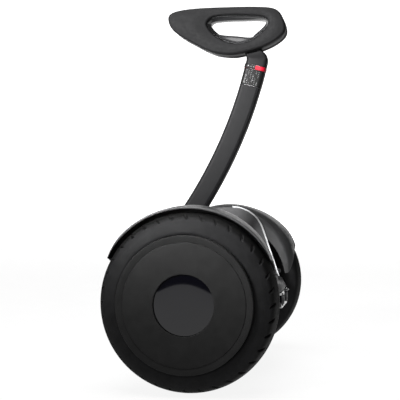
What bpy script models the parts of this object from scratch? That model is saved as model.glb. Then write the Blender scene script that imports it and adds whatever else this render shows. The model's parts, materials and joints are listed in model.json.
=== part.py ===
"""Two-wheeled self-balancing scooter with a knee-steered bar.

Lengths are written in millimetres and turned into metres when a mesh is made. X points to the
vehicle's right, Y forward and Z up. The origin lies on the ground below the middle of the axle.
"""

import math

import bmesh
import bpy
from mathutils import Vector

MM = 0.001

# Whole vehicle
OVERALL_WIDTH = 548.0
WHEEL_RADIUS = 133.5
GAP = 0.3            # clearance between faces that touch
RUN_GAP = 0.6        # clearance between parts that turn past each other

# Wheel, measured as distance from the axle line and from the vehicle's middle plane
COVER_STANDOUT = 10.5
TYRE_HALF_WIDTH = 40.5
TYRE_MID = OVERALL_WIDTH / 2 - COVER_STANDOUT - TYRE_HALF_WIDTH
TYRE_WALL = 7.0
TYRE_DEPTH = 49.5
CROWN_HALF_WIDTH = 12.0
SHOULDER_DROP = 4.9
FLANK_DROP = 15.0
BULGE_DROP = 30.0
RIM_RADIUS = WHEEL_RADIUS - TYRE_DEPTH
RIM_HALF_WIDTH = 37.5
RIM_FLANGE_HEIGHT = 8.0
RIM_FLANGE_WALL = 3.0
RIM_WALL = 4.5
NOTCH_COUNT = 36
NOTCH_LENGTH = 9.0
NOTCH_WIDTH = 2.6
NOTCH_DEPTH = 2.2

# Hub cover and its cap
DISC_RADIUS = RIM_RADIUS + RIM_FLANGE_HEIGHT
DISC_BEVEL = 9.6
DISC_RISE = 9.8
DISC_CROWN = 1.6
DISC_WALL = 3.0
CAP_RADIUS = 44.6
CAP_GROOVE = 1.0
CAP_RECESS = 2.2
CAP_DISH = 2.6
CAP_WALL = 2.5

# Hub motor
AXLE_RADIUS = 10.0
AXLE_NOSE_RADIUS = 6.0
SPOOL_INSET = 46.0
SPOOL_RADIUS = RIM_RADIUS - SPOOL_INSET
SPOOL_WALL = 8.0
MAGNET_DEPTH = 5.5
MOTOR_LENGTH = 20.0
AIR_GAP = 1.2
STATOR_TEETH = 12
TOOTH_SHARE = 0.30      # half of a tooth's width, as a share of the teeth's pitch
STATOR_SLOT_DEPTH = 20.0
INNER_BEARING_RADIUS = 21.0
OUTER_BEARING_RADIUS = 14.0
BEARING_WIDTH = 10.0
SIDE_COVER_WALL = 4.0
VALVE_ANGLE = 12.0
VALVE_CAP_RADIUS = 4.5

# Fender and the side panel beside the rider's leg
FENDER_CLEARANCE = 10.5
FENDER_RADIUS = WHEEL_RADIUS + FENDER_CLEARANCE
FENDER_LIP = 8.4
FENDER_EDGE_RADIUS = FENDER_RADIUS - FENDER_LIP
FENDER_OUTER = TYRE_MID + 15.0
FENDER_WALL = 3.0
FENDER_DEPTH = 34.0
FENDER_FLANK_RADIUS = FENDER_RADIUS - FENDER_DEPTH
FENDER_FRONT_REACH = 62.0      # degrees from the top, as are the next two
FENDER_REAR_REACH = 72.0
FENDER_FLANK_REACH = 81.0
FENDER_LIP_TAPER = 5.5
FENDER_SIDE_TAPER = 16.0
PANEL_INSET = 32.5
PANEL_PLANE = TYRE_MID - TYRE_HALF_WIDTH - PANEL_INSET
PANEL_WALL = 3.0
PANEL_TOP = FENDER_RADIUS - 6.0
PANEL_CORNER = 58.0
PANEL_CORNER_OFFSET = 12.0
PANEL_FLANK_ANGLE = 19.0
PANEL_KNEE = -2.0
STRIP_WIDTH = 3.2
STRIP_DEPTH = 2.2
STRIP_BASE = 0.8
STRIP_BREAK = 2.0

# Body between the side panels
BODY_HALF_LENGTH = 121.0
BODY_BULGE = 12.0
DECK_RISE = 13.5
DECK_HEIGHT = WHEEL_RADIUS + DECK_RISE
BODY_DROP = 37.5
BODY_BOTTOM = WHEEL_RADIUS - BODY_DROP
SHELL_WALL = 3.0
HUMP_HALF_WIDTH = 46.0
HUMP_CREST_HALF_WIDTH = 14.5
HUMP_REAR_HEIGHT = DECK_HEIGHT + 3.0
MAT_INNER = HUMP_HALF_WIDTH + 6.0
MAT_EDGE = 3.5
MAT_HALF_LENGTH = BODY_HALF_LENGTH - 31.0
MAT_THICKNESS = 4.5
MAT_BASE = 3.0
MAT_RIB_COUNT = 6
SENSOR_THICKNESS = 1.6
FRAME_TOP = DECK_HEIGHT - 4.5
FRAME_HALF_LENGTH = BODY_HALF_LENGTH - 27.0
FRAME_WALL = 5.0
AXLE_SEAT_LENGTH = 36.0
CLAMP_WIDTH = 34.0
CLAMP_STEP = 3.0
BOTTOM_COVER_DEPTH = 8.0
BOTTOM_COVER_WALL = 2.5
BATTERY_END_GAP = 15.6
BATTERY_WIDTH = 118.0
BATTERY_HEIGHT = 31.0
BATTERY_BACK_SHIFT = 18.0
BOARD_SIZE = (120.0, 44.0, 5.0)

# Steering pivot under the stem
BARREL_RADIUS = 21.0
BARREL_LENGTH = 46.0
PIVOT_HEIGHT = FRAME_TOP + BARREL_RADIUS + 2.5
PIVOT_FORWARD = BODY_HALF_LENGTH - 37.0
HUMP_FRONT_HEIGHT = PIVOT_HEIGHT + BARREL_RADIUS + 8.0
PIVOT_PIN_RADIUS = 6.0
BUSH_RADIUS = 10.0
YOKE_WALL = 5.0
NOSE_HEIGHT = 28.5
LEAN_LIMIT = 9.0

# Curved stem, an arc in the vehicle's middle plane
ARC_FORWARD = 595.0
ARC_RISE = 550.0
ARC_CENTRE_Y = PIVOT_FORWARD + ARC_FORWARD
ARC_CENTRE_Z = DECK_HEIGHT + ARC_RISE
ARC_RADIUS = 775.0
STEM_DEPTH = 35.0
STEM_WIDTH = 28.0
STEM_CORNER = 9.0
STEM_WALL = 2.0
SOCKET_WALL = 3.0
SOCKET_RISE = 17.0
SOCKET_LENGTH = 28.0
SOCKET_BASE_Z = HUMP_FRONT_HEIGHT + SOCKET_RISE
SOCKET_TOP_Z = SOCKET_BASE_Z + SOCKET_LENGTH
SLEEVE_RISE = 331.0
SLEEVE_BASE_Z = DECK_HEIGHT + SLEEVE_RISE
SLEEVE_LENGTH = 27.0
RING_BASE_Z = SLEEVE_BASE_Z + SLEEVE_LENGTH
RING_HEIGHT = 7.0
RING_TOP_Z = RING_BASE_Z + RING_HEIGHT
CLAMP_SCREW_Z = SLEEVE_BASE_Z + 0.5 * SLEEVE_LENGTH
SET_SCREW_RADIUS = 3.0
INNER_TUBE_INSET = STEM_WALL + 0.5
INNER_TUBE_LENGTH = 128.0
INNER_TUBE_BASE_Z = RING_TOP_Z - INNER_TUBE_LENGTH

# Head with its two knee pads and the carrying hole, measured forward and up from the point
# where the stem's middle line leaves the lock ring
CORE_HALF_WIDTH = 12.0
PAD_FACE = 27.0
PAD_CROWN = 7.0
PAD_EDGE_ROUND = 6.0
PAD_INSET = 0.8
LINER_WALL = 2.0
NECK_HEIGHT = 10.0
HEAD_OUTLINE = (
    (149.5, 77), (143.5, 90), (112, 96.2), (58.5, 98), (-1.5, 97), (-37, 91), (-50.5, 69),
    (-48, 49.5), (-19, 30.5), (29.5, 17), (59.5, 17.5), (80, 22.5), (104, 34.5), (139, 57),
)
HOLE_OUTLINE = (
    (78.5, 68), (74, 76.5), (64, 80), (43.5, 81), (3.5, 79.5), (-16.5, 75.5), (-20, 67.5),
    (-10, 55), (5.5, 43.5), (26.5, 38), (48.5, 42.5), (67, 53),
)
WAIST_OUTLINE = (
    (76, 69), (70.5, 75.5), (50, 77.2), (28, 77.4), (-12.5, 76.2), (-16, 68.5),
    (0.7, 53), (8.5, 47.8), (33, 50.4), (58, 53.2), (65.5, 57),
)
WAIST_HALF_WIDTH = 9.0
HOLE_CENTRE = (33.5, 60.0)

# Rear controls and the front lamp
REAR_PANEL_SIZE = (112.0, 26.0)
REAR_PANEL_WALL = 4.0
REAR_PANEL_HEIGHT = BODY_BOTTOM + 25.0
TRIM_STANDOUT = 0.4
BUTTON_RADIUS = 7.5
BUTTON_OFFSET = -34.0
BUTTON_LENGTH = 8.0
BUTTON_PROUD = 1.6
BEZEL_RADIUS = 10.5
BEZEL_PROUD = 1.0
PORT_OFFSET = 30.0
PORT_RADIUS = 8.5
PORT_BORE = 6.0
PORT_LENGTH = 14.0
PORT_FLOOR = 2.5
FLAP_RADIUS = 9.5
FLAP_WALL = 2.0
FLAP_PIN_RADIUS = 1.1
KNUCKLE_RADIUS = 2.1
EAR_WALL = 2.0
LAMP_SIZE = (64.0, 15.0)
LAMP_HEIGHT = BODY_BOTTOM + 28.0
LAMP_WALL = 4.0

# Facets round a full turn
TYRE_FACETS = NOTCH_COUNT
WHEEL_FACETS = 32
MOTOR_FACETS = 24
SMALL_FACETS = 16
BUSH_FACETS = 12

AXLE = Vector((0.0, 0.0, WHEEL_RADIUS))
RIM_INNER = TYRE_MID - RIM_HALF_WIDTH
RIM_OUTER = TYRE_MID + RIM_HALF_WIDTH
RIM_BORE = RIM_RADIUS - RIM_WALL
DISC_FACE = OVERALL_WIDTH / 2
DISC_EDGE_RADIUS = DISC_RADIUS + DISC_BEVEL
DISC_BACK = DISC_FACE - DISC_RISE - 2.4
SHELL_HALF_WIDTH = PANEL_PLANE - PANEL_WALL / 2 - GAP
FRAME_END = SHELL_HALF_WIDTH - SHELL_WALL - RUN_GAP
AXLE_SEAT_START = FRAME_END - AXLE_SEAT_LENGTH
FRAME_ROOF = FRAME_TOP - FRAME_WALL + 1
AXLE_LEDGE = WHEEL_RADIUS - AXLE_RADIUS - CLAMP_STEP
SIDES = (("left", -1), ("right", 1))


def clear_scene():
    for obj in list(bpy.data.objects):
        bpy.data.objects.remove(obj)


def material(name, colour, roughness, metallic=0.0):
    made = bpy.data.materials.new(name)
    made.use_nodes = True
    shader = made.node_tree.nodes["Principled BSDF"]
    shader.inputs["Base Color"].default_value = (*colour, 1.0)
    shader.inputs["Roughness"].default_value = roughness
    shader.inputs["Metallic"].default_value = metallic
    return made


def make_materials():
    return {
        "tyre": material("tyre", (0.018, 0.018, 0.019), 0.75),
        "satin_black": material("satin_black", (0.030, 0.030, 0.032), 0.42),
        "gloss_black": material("gloss_black", (0.022, 0.022, 0.025), 0.12),
        "dark_plastic": material("dark_plastic", (0.045, 0.045, 0.048), 0.55),
        "stem_paint": material("stem_paint", (0.062, 0.062, 0.065), 0.45, 0.3),
        "soft_pad": material("soft_pad", (0.060, 0.060, 0.063), 0.65),
        "liner": material("liner", (0.20, 0.20, 0.205), 0.3),
        "rubber": material("rubber", (0.025, 0.025, 0.026), 0.8),
        "aluminium": material("aluminium", (0.60, 0.61, 0.63), 0.4, 1.0),
        "steel": material("steel", (0.50, 0.50, 0.52), 0.35, 1.0),
        "red": material("red", (0.55, 0.02, 0.05), 0.35),
        "light_white": material("light_white", (0.90, 0.92, 0.93), 0.25),
        "battery": material("battery", (0.05, 0.09, 0.22), 0.5),
        "board": material("board", (0.02, 0.16, 0.07), 0.5),
    }


def add_object(name, mesh, finish, smooth_angle=35.0):
    if smooth_angle:
        mesh.shade_smooth()
        mesh.set_sharp_from_angle(angle=math.radians(smooth_angle))
    obj = bpy.data.objects.new(name, mesh)
    bpy.context.scene.collection.objects.link(obj)
    if finish:
        mesh.materials.append(finish)
    return obj


def mesh_from(name, points, faces):
    """Closed mesh from points in millimetres, with its faces turned outwards."""
    shape = bmesh.new()
    verts = [shape.verts.new(Vector(point) * MM) for point in points]
    for face in faces:
        shape.faces.new([verts[i] for i in face])
    bmesh.ops.recalc_face_normals(shape, faces=shape.faces)
    mesh = bpy.data.meshes.new(name)
    shape.to_mesh(mesh)
    shape.free()
    return mesh


def loft(name, rings, finish, capped=True, smooth_angle=35.0):
    """Skin over rings of equally many points. Uncapped, the last ring joins the first."""
    count = len(rings[0])
    points = [point for ring in rings for point in ring]
    faces = []
    for r in range(len(rings) - (1 if capped else 0)):
        here, there = r * count, (r + 1) % len(rings) * count
        for i in range(count):
            j = (i + 1) % count
            faces.append((here + i, here + j, there + j, there + i))
    if capped:
        faces.append(tuple(range(count)))
        faces.append(tuple(range(len(points) - count, len(points))))
    return add_object(name, mesh_from(name, points, faces), finish, smooth_angle)


def turned(name, profile, facets, finish, side=1, phase=0.5):
    """Closed profile of (distance from the middle plane, radius) turned about the axle line."""
    solid = min(radius for _, radius in profile) < 0.01
    rings = []
    for k in range(facets):
        angle = 2 * math.pi * (k + phase) / facets
        rings.append([
            (side * u, r * math.cos(angle), AXLE.z + r * math.sin(angle)) for u, r in profile
        ])
    if not solid:
        return loft(name, rings, finish, capped=False)
    outer = [list(ring) for ring in zip(*rings)][1:-1]
    return loft(name, outer, finish)


def around(radius, facets):
    """Corner radius of a facetted hole whose flats stay outside a circle."""
    return radius / math.cos(math.pi / facets)


def circle(radius, facets):
    return [
        (radius * math.cos(2 * math.pi * k / facets), radius * math.sin(2 * math.pi * k / facets))
        for k in range(facets)
    ]


def rounded_box(half_a, half_b, corner, steps=3):
    """Rectangle outline with round corners, anticlockwise from the first corner."""
    points = []
    for quarter, (sa, sb) in enumerate(((1, 1), (-1, 1), (-1, -1), (1, -1))):
        for k in range(steps + 1):
            angle = math.pi / 2 * (quarter + k / steps)
            points.append((
                sa * (half_a - corner) + corner * math.cos(angle),
                sb * (half_b - corner) + corner * math.sin(angle),
            ))
    return points


def prism_x(name, outline, x0, x1, finish, smooth_angle=35.0):
    """Outline of (y, z) drawn out along X."""
    rings = [[(x, y, z) for y, z in outline] for x in (x0, x1)]
    return loft(name, rings, finish, smooth_angle=smooth_angle)


def prism_y(name, outline, y0, y1, finish, smooth_angle=35.0):
    """Outline of (x, z) drawn out along Y."""
    rings = [[(x, y, z) for x, z in outline] for y in (y0, y1)]
    return loft(name, rings, finish, smooth_angle=smooth_angle)


def prism_z(name, outline, z0, z1, finish, smooth_angle=35.0):
    """Outline of (x, y) drawn out along Z."""
    rings = [[(x, y, z) for x, y in outline] for z in (z0, z1)]
    return loft(name, rings, finish, smooth_angle=smooth_angle)


def block(name, low, high, finish):
    outline = ((low[0], low[1]), (high[0], low[1]), (high[0], high[1]), (low[0], high[1]))
    return prism_z(name, outline, low[2], high[2], finish, smooth_angle=0)


def tube_along_y(name, inner, outer, y0, y1, centre, finish, facets=SMALL_FACETS):
    """Round ring or, with inner zero, a round bar along Y."""
    def ring(radius, y):
        return [(centre[0] + a, y, centre[1] + b) for a, b in circle(radius, facets)]
    if inner <= 0:
        return loft(name, [ring(outer, y0), ring(outer, y1)], finish)
    rings = [ring(outer, y0), ring(outer, y1), ring(inner, y1), ring(inner, y0)]
    return loft(name, rings, finish, capped=False)


def apply_boolean(target, cutter, operation="DIFFERENCE"):
    """Cuts or joins, then removes the cutter."""
    modifier = target.modifiers.new("cut", "BOOLEAN")
    modifier.operation = operation
    modifier.object = cutter
    graph = bpy.context.evaluated_depsgraph_get()
    mesh = bpy.data.meshes.new_from_object(target.evaluated_get(graph))
    target.modifiers.clear()
    old = target.data
    target.data = mesh
    bpy.data.meshes.remove(old)
    bpy.data.objects.remove(cutter)
    return target


def joined(name, pieces):
    """One object of several bodies that stay separate."""
    shape = bmesh.new()
    for piece in pieces:
        shape.from_mesh(piece.data)
    mesh = bpy.data.meshes.new(name)
    shape.to_mesh(mesh)
    shape.free()
    for finish in pieces[0].data.materials:
        mesh.materials.append(finish)
    for piece in pieces:
        bpy.data.objects.remove(piece)
    return add_object(name, mesh, None)


def smooth_outline(points, steps):
    """Closed Catmull-Rom curve through the points."""
    curve = []
    count = len(points)
    for i in range(count):
        a, b, c, d = (Vector(points[(i + k) % count]) for k in (-1, 0, 1, 2))
        for k in range(steps):
            t = k / steps
            curve.append(0.5 * (
                2 * b + (c - a) * t + (2 * a - 5 * b + 4 * c - d) * t * t
                + (3 * b - a - 3 * c + d) * t ** 3
            ))
    return curve


def polar_outline(points, count, offset=0.0):
    """The curve through the points, read at even angles about the carrying hole's centre."""
    centre = Vector(HOLE_CENTRE)
    base = arc_frame(RING_TOP_Z)[0].yz
    curve = [point - centre for point in smooth_outline(points, 24)]
    result = []
    for k in range(count):
        ray = Vector((math.cos(2 * math.pi * k / count), math.sin(2 * math.pi * k / count)))
        for i, start in enumerate(curve):
            end = curve[(i + 1) % len(curve)]
            a = ray.x * start.y - ray.y * start.x
            b = ray.x * end.y - ray.y * end.x
            if a * b <= 0 and a != b and start.dot(ray) > 0:
                hit = start.lerp(end, a / (a - b))
                normal = Vector((end.y - start.y, start.x - end.x)).normalized()
                if normal.dot(ray) < 0:
                    normal = -normal
                reach = hit.dot(ray) + offset / max(normal.dot(ray), 0.4)
                result.append(base + centre + ray * reach)
                break
    return result


def tyre_profile():
    """Closed tyre section as (offset from its middle plane, radius)."""
    bead = around(RIM_RADIUS + GAP, TYRE_FACETS)
    flange = around(RIM_RADIUS + RIM_FLANGE_HEIGHT + GAP, TYRE_FACETS)
    seat_in = RIM_INNER + RIM_FLANGE_WALL + GAP - TYRE_MID
    seat_out = RIM_OUTER - RIM_FLANGE_WALL - GAP - TYRE_MID
    crown = around(WHEEL_RADIUS, TYRE_FACETS)
    groove = around(DISC_EDGE_RADIUS + CAP_GROOVE, TYRE_FACETS)
    groove_floor = DISC_BACK - RUN_GAP - TYRE_MID
    half = TYRE_HALF_WIDTH
    wall = TYRE_WALL
    shoulder, flank = WHEEL_RADIUS - SHOULDER_DROP, WHEEL_RADIUS - FLANK_DROP
    bulge = WHEEL_RADIUS - BULGE_DROP
    return [
        (seat_in, bead), (seat_in, flange), (-half, bulge), (3.5 - half, flank),
        (11.5 - half, shoulder), (-CROWN_HALF_WIDTH, crown), (CROWN_HALF_WIDTH, crown),
        (half - 11.5, shoulder), (half - 3.5, flank), (half, groove + 2.4),
        (groove_floor, groove), (seat_out + wall / 2, flange), (seat_out, flange), (seat_out, bead),
        (seat_out - wall, bead), (half - wall - 1, bulge),
        (half - 2.4 * wall, flank + 3), (2.4 * wall - half, flank + 3),
        (wall + 1 - half, bulge), (seat_in + wall, bead),
    ]


def notch_cutter(side):
    """Slanting wedges across the outer shoulder, one for each facet."""
    top = Vector((TYRE_MID + TYRE_HALF_WIDTH - 17.0, WHEEL_RADIUS - 2.6))
    run = Vector((0.868, -0.497))
    lift = Vector((0.497, 0.868))
    corners = []
    for along, slant in ((0.0, -NOTCH_WIDTH), (NOTCH_LENGTH, NOTCH_WIDTH)):
        base = top + run * along
        corners.append([
            (base + lift * 5.0, slant - NOTCH_WIDTH), (base + lift * 5.0, slant + NOTCH_WIDTH),
            (base - lift * NOTCH_DEPTH, slant),
        ])
    wedges = []
    for k in range(NOTCH_COUNT):
        angle = 2 * math.pi * k / NOTCH_COUNT
        out = Vector((0, math.cos(angle), math.sin(angle)))
        along = Vector((0, -math.sin(angle), math.cos(angle)))
        rings = [
            [AXLE + Vector((side * p.x, 0, 0)) + out * p.y + along * t for p, t in ring]
            for ring in corners
        ]
        wedges.append(loft("wedge", rings, None, smooth_angle=0))
    return joined("notches", wedges)


def build_tyre(name, side, mats):
    profile = [(TYRE_MID + w, r) for w, r in tyre_profile()]
    tyre = turned(f"{name}_tyre", profile, TYRE_FACETS, mats["tyre"], side)
    apply_boolean(tyre, notch_cutter(side))


def build_rim(name, side, mats):
    top = RIM_RADIUS + RIM_FLANGE_HEIGHT
    bore = around(RIM_BORE, MOTOR_FACETS)
    hole = around(OUTER_BEARING_RADIUS + GAP, MOTOR_FACETS)
    inside = RIM_INNER + RIM_FLANGE_WALL
    outside = RIM_OUTER - RIM_FLANGE_WALL
    wall_face = RIM_OUTER - 4
    profile = [
        (RIM_INNER, top), (inside, top), (inside, RIM_RADIUS), (outside, RIM_RADIUS),
        (outside, top), (RIM_OUTER, top), (RIM_OUTER, RIM_BORE), (wall_face, RIM_BORE - 4),
        (wall_face, hole), (wall_face - BEARING_WIDTH - 1, hole),
        (wall_face - RIM_WALL, hole + 9), (wall_face - RIM_WALL, bore), (RIM_INNER, bore),
    ]
    turned(f"{name}_wheel_rim", profile, MOTOR_FACETS, mats["aluminium"], side)


def build_hub_cover(name, side, mats):
    floor = DISC_FACE - CAP_RECESS - CAP_WALL - GAP
    well = around(CAP_RADIUS + CAP_GROOVE, WHEEL_FACETS)
    opening = CAP_RADIUS - 8
    seat = RIM_OUTER + GAP
    rim_top = RIM_RADIUS + RIM_FLANGE_HEIGHT
    profile = [
        (floor, opening), (floor, well), (DISC_FACE, well + 0.8),
        (DISC_FACE - DISC_CROWN, DISC_RADIUS),
        (DISC_FACE - DISC_CROWN - 0.25 * DISC_RISE, DISC_RADIUS + 0.6 * DISC_BEVEL),
        (DISC_FACE - DISC_RISE, DISC_EDGE_RADIUS), (DISC_BACK, DISC_EDGE_RADIUS),
        (DISC_BACK, rim_top + 2), (seat, rim_top), (seat, RIM_RADIUS),
        (DISC_FACE - DISC_CROWN - 2 * DISC_WALL, RIM_RADIUS), (floor - DISC_WALL, opening),
    ]
    turned(f"{name}_hub_cover", profile, WHEEL_FACETS, mats["satin_black"], side)


def build_hub_cap(name, side, mats):
    rim = DISC_FACE - CAP_RECESS
    back = rim - CAP_WALL
    profile = [
        (rim - 0.6 * CAP_DISH, 0.0), (rim - 0.6 * CAP_DISH, 0.5 * CAP_RADIUS),
        (rim, CAP_RADIUS - 1), (rim - 0.6, CAP_RADIUS), (back, CAP_RADIUS), (back, 0.0),
    ]
    turned(f"{name}_hub_cap", profile, WHEEL_FACETS, mats["gloss_black"], side)


def build_motor(name, side, mats):
    """Magnet ring, stator, axle, inner cover and the two bearings."""
    start = TYRE_MID - 0.5 * MOTOR_LENGTH - 1
    end = start + MOTOR_LENGTH
    magnet_outer = RIM_BORE - GAP
    magnet_inner = magnet_outer - MAGNET_DEPTH
    ring = [
        (start, magnet_outer), (end, magnet_outer),
        (end, around(magnet_inner, MOTOR_FACETS)), (start, around(magnet_inner, MOTOR_FACETS)),
    ]
    turned(f"{name}_magnet_ring", ring, MOTOR_FACETS, mats["steel"], side)

    stator_radius = magnet_inner - AIR_GAP
    seat_radius = AXLE_RADIUS + 4
    outline, bore = [], []
    pitch = 2 * math.pi / STATOR_TEETH
    slot_floor = stator_radius - STATOR_SLOT_DEPTH
    hole = (SPOOL_RADIUS + GAP) / math.cos(TOOTH_SHARE * pitch)
    for k in range(STATOR_TEETH):
        for share, radius in (
            (-TOOTH_SHARE, stator_radius), (TOOTH_SHARE, stator_radius),
            (TOOTH_SHARE + 0.04, slot_floor), (0.96 - TOOTH_SHARE, slot_floor),
        ):
            angle = (k + share) * pitch
            outline.append((radius * math.cos(angle), AXLE.z + radius * math.sin(angle)))
            bore.append((hole * math.cos(angle), AXLE.z + hole * math.sin(angle)))
    rings = [
        [(side * u, y, z) for y, z in loop]
        for u, loop in ((start, outline), (end, outline), (end, bore), (start, bore))
    ]
    loft(f"{name}_motor_stator", rings, mats["steel"], capped=False, smooth_angle=20)

    inner = AXLE_SEAT_START + GAP
    web = 0.5 * (start + end - SPOOL_WALL)
    nose = RIM_OUTER - 2
    axle = [
        (inner, 0.0), (inner, AXLE_RADIUS), (web - seat_radius, AXLE_RADIUS), (web, seat_radius),
        (web, SPOOL_RADIUS), (web + SPOOL_WALL, SPOOL_RADIUS), (web + SPOOL_WALL, seat_radius),
        (end, AXLE_NOSE_RADIUS), (nose, AXLE_NOSE_RADIUS), (nose, 0.0),
    ]
    turned(f"{name}_axle", axle, SMALL_FACETS, mats["steel"], side)

    face = RIM_INNER + 0.5
    back = face + SIDE_COVER_WALL
    bearing_bore = around(INNER_BEARING_RADIUS + GAP, MOTOR_FACETS)
    cover = [
        (face, RIM_BORE - GAP), (back, RIM_BORE - GAP), (back, bearing_bore + 8),
        (face + BEARING_WIDTH, bearing_bore + 4), (face + BEARING_WIDTH, bearing_bore),
        (face - 3, bearing_bore), (face - 3, bearing_bore + 4), (face, bearing_bore + 8),
    ]
    turned(f"{name}_motor_cover", cover, MOTOR_FACETS, mats["aluminium"], side)

    for where, low, inside, outside in (
        ("inner", face - 2, AXLE_RADIUS, INNER_BEARING_RADIUS),
        ("outer", RIM_OUTER - 4 - BEARING_WIDTH, AXLE_NOSE_RADIUS, OUTER_BEARING_RADIUS),
    ):
        bore_radius = around(inside + GAP, BUSH_FACETS)
        section = [
            (low, outside), (low + BEARING_WIDTH, outside),
            (low + BEARING_WIDTH, bore_radius), (low, bore_radius),
        ]
        turned(f"{name}_{where}_bearing", section, BUSH_FACETS, mats["steel"], side)


def build_valve(name, side, mats):
    """Bent tyre valve on the inner side of the rim."""
    angle = math.radians(180.0 - VALVE_ANGLE)
    out = Vector((0, math.cos(angle), math.sin(angle)))
    along = Vector((0, -math.sin(angle), math.cos(angle)))
    base_u = RIM_INNER - GAP
    path = (
        (base_u, RIM_RADIUS + 4, 3.2), (base_u - 6, RIM_RADIUS + 4, 3.2),
        (base_u - 9, RIM_RADIUS + 7, 3.2), (base_u - 9.5, RIM_RADIUS + 7.5, VALVE_CAP_RADIUS),
        (base_u - 17, RIM_RADIUS + 15, VALVE_CAP_RADIUS),
    )
    rings = []
    for i, (u, r, radius) in enumerate(path):
        tilt = 0.0 if i < 2 else math.pi / 4
        lean = Vector((side * math.sin(tilt), 0, 0)) + out * math.cos(tilt)
        centre = AXLE + Vector((side * u, 0, 0)) + out * r
        rings.append([centre + lean * a + along * b for a, b in circle(radius, 8)])
    loft(f"{name}_tyre_valve", rings, mats["rubber"])


def fender_stations():
    """Shares of the fender's reach, closer together towards its ends."""
    return (-1, -0.97, -0.9, -0.76, -0.58, -0.38, -0.19, 0, 0.19, 0.38, 0.58, 0.76, 0.9, 0.97, 1)


def fender_point(u, r, share, seat):
    """Point of the fender's section. Towards both ends its lip gets lower, and the side beside
    the panel reaches further down and comes in."""
    edge, crown, flank = FENDER_EDGE_RADIUS, FENDER_RADIUS, FENDER_FLANK_RADIUS
    inner = (FENDER_OUTER - u) / (FENDER_OUTER - seat)
    reach = FENDER_FRONT_REACH if share > 0 else FENDER_REAR_REACH
    angle = share * (reach + inner ** 3 * (FENDER_FLANK_REACH - reach))
    late = max(0.0, (abs(share) - 0.72) / 0.28) ** 2
    lip = min(1.0, max(0.0, (r - edge) / (crown - edge)))
    side = min(1.0, max(0.0, (r - flank) / (crown - 6 - flank)))
    radius = r - FENDER_LIP_TAPER * late * lip * (1 - inner)
    radius -= FENDER_SIDE_TAPER * (angle / FENDER_FLANK_REACH) ** 2 * inner * side
    angle = math.radians(angle)
    return radius * math.sin(angle), AXLE.z + radius * math.cos(angle)


def build_fender(name, side, mats):
    edge, crown, wall = FENDER_EDGE_RADIUS, FENDER_RADIUS, FENDER_WALL
    seat = PANEL_PLANE + PANEL_WALL / 2 + GAP
    outer, flank = FENDER_OUTER, FENDER_FLANK_RADIUS
    profile = (
        (outer, edge), (outer, crown - 3.5), (outer - 3, crown), (outer - 38, crown + 1),
        (seat + 20, crown - 0.2), (seat + 5, crown - 5), (seat, crown - 12), (seat, flank),
        (seat + wall, flank), (seat + wall, crown - 13.5), (seat + 7, crown - 8),
        (seat + 21, crown - wall - 0.2), (outer - 38, crown + 1 - wall),
        (outer - wall - 1.5, crown - wall), (outer - wall, edge),
    )
    rings = [
        [(side * u, *fender_point(u, r, share, seat)) for u, r in profile]
        for share in fender_stations()
    ]
    loft(f"{name}_fender", rings, mats["satin_black"])


def panel_edge():
    """Rear edge of the side panel, from its top to its foot, as (rearward, above the axle)."""
    lean = math.radians(PANEL_FLANK_ANGLE)
    centre_b, centre_h = PANEL_CORNER_OFFSET, PANEL_TOP - PANEL_CORNER
    points = []
    for k in range(8):
        angle = math.pi / 2 + (lean - math.pi / 2) * k / 7
        points.append(Vector((
            centre_b + PANEL_CORNER * math.cos(angle), centre_h + PANEL_CORNER * math.sin(angle),
        )))
    last = points[-1]
    knee = Vector((last.x + (last.y - PANEL_KNEE) * math.tan(lean), PANEL_KNEE))
    points += [last.lerp(knee, 0.5), knee]
    foot = BODY_BOTTOM - WHEEL_RADIUS
    points += [Vector((knee.x - 1.2, 0.5 * (knee.y + foot))), Vector((knee.x - 8, foot + 6))]
    return points


def build_side_panel(name, side, mats):
    edge = panel_edge()
    foot = BODY_BOTTOM - WHEEL_RADIUS
    half = [(-p.x, WHEEL_RADIUS + p.y) for p in edge] + [(12 - edge[-1].x, WHEEL_RADIUS + foot)]
    outline = half + [(-y, z) for y, z in reversed(half)]
    u0, u1 = PANEL_PLANE - PANEL_WALL / 2, PANEL_PLANE + PANEL_WALL / 2
    panel = prism_x(f"{name}_side_panel", outline, side * u0, side * u1, mats["dark_plastic"])
    hole = around(AXLE_RADIUS + 2, SMALL_FACETS)
    cutter = turned("cutter", [(u0 - 5, 0), (u0 - 5, hole), (u1 + 5, hole), (u1 + 5, 0)],
                    SMALL_FACETS, None, side)
    apply_boolean(panel, cutter)


def outward(points, i):
    """Mitred outward normal at a point of the side panel's edge."""
    normals = []
    for start, end in ((i - 1, i), (i, i + 1)):
        if start >= 0 and end < len(points):
            run = (points[end] - points[start]).normalized()
            normals.append(Vector((-run.y, run.x)))
    middle = (normals[0] + normals[-1]).normalized()
    return middle / middle.dot(normals[0])


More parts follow.
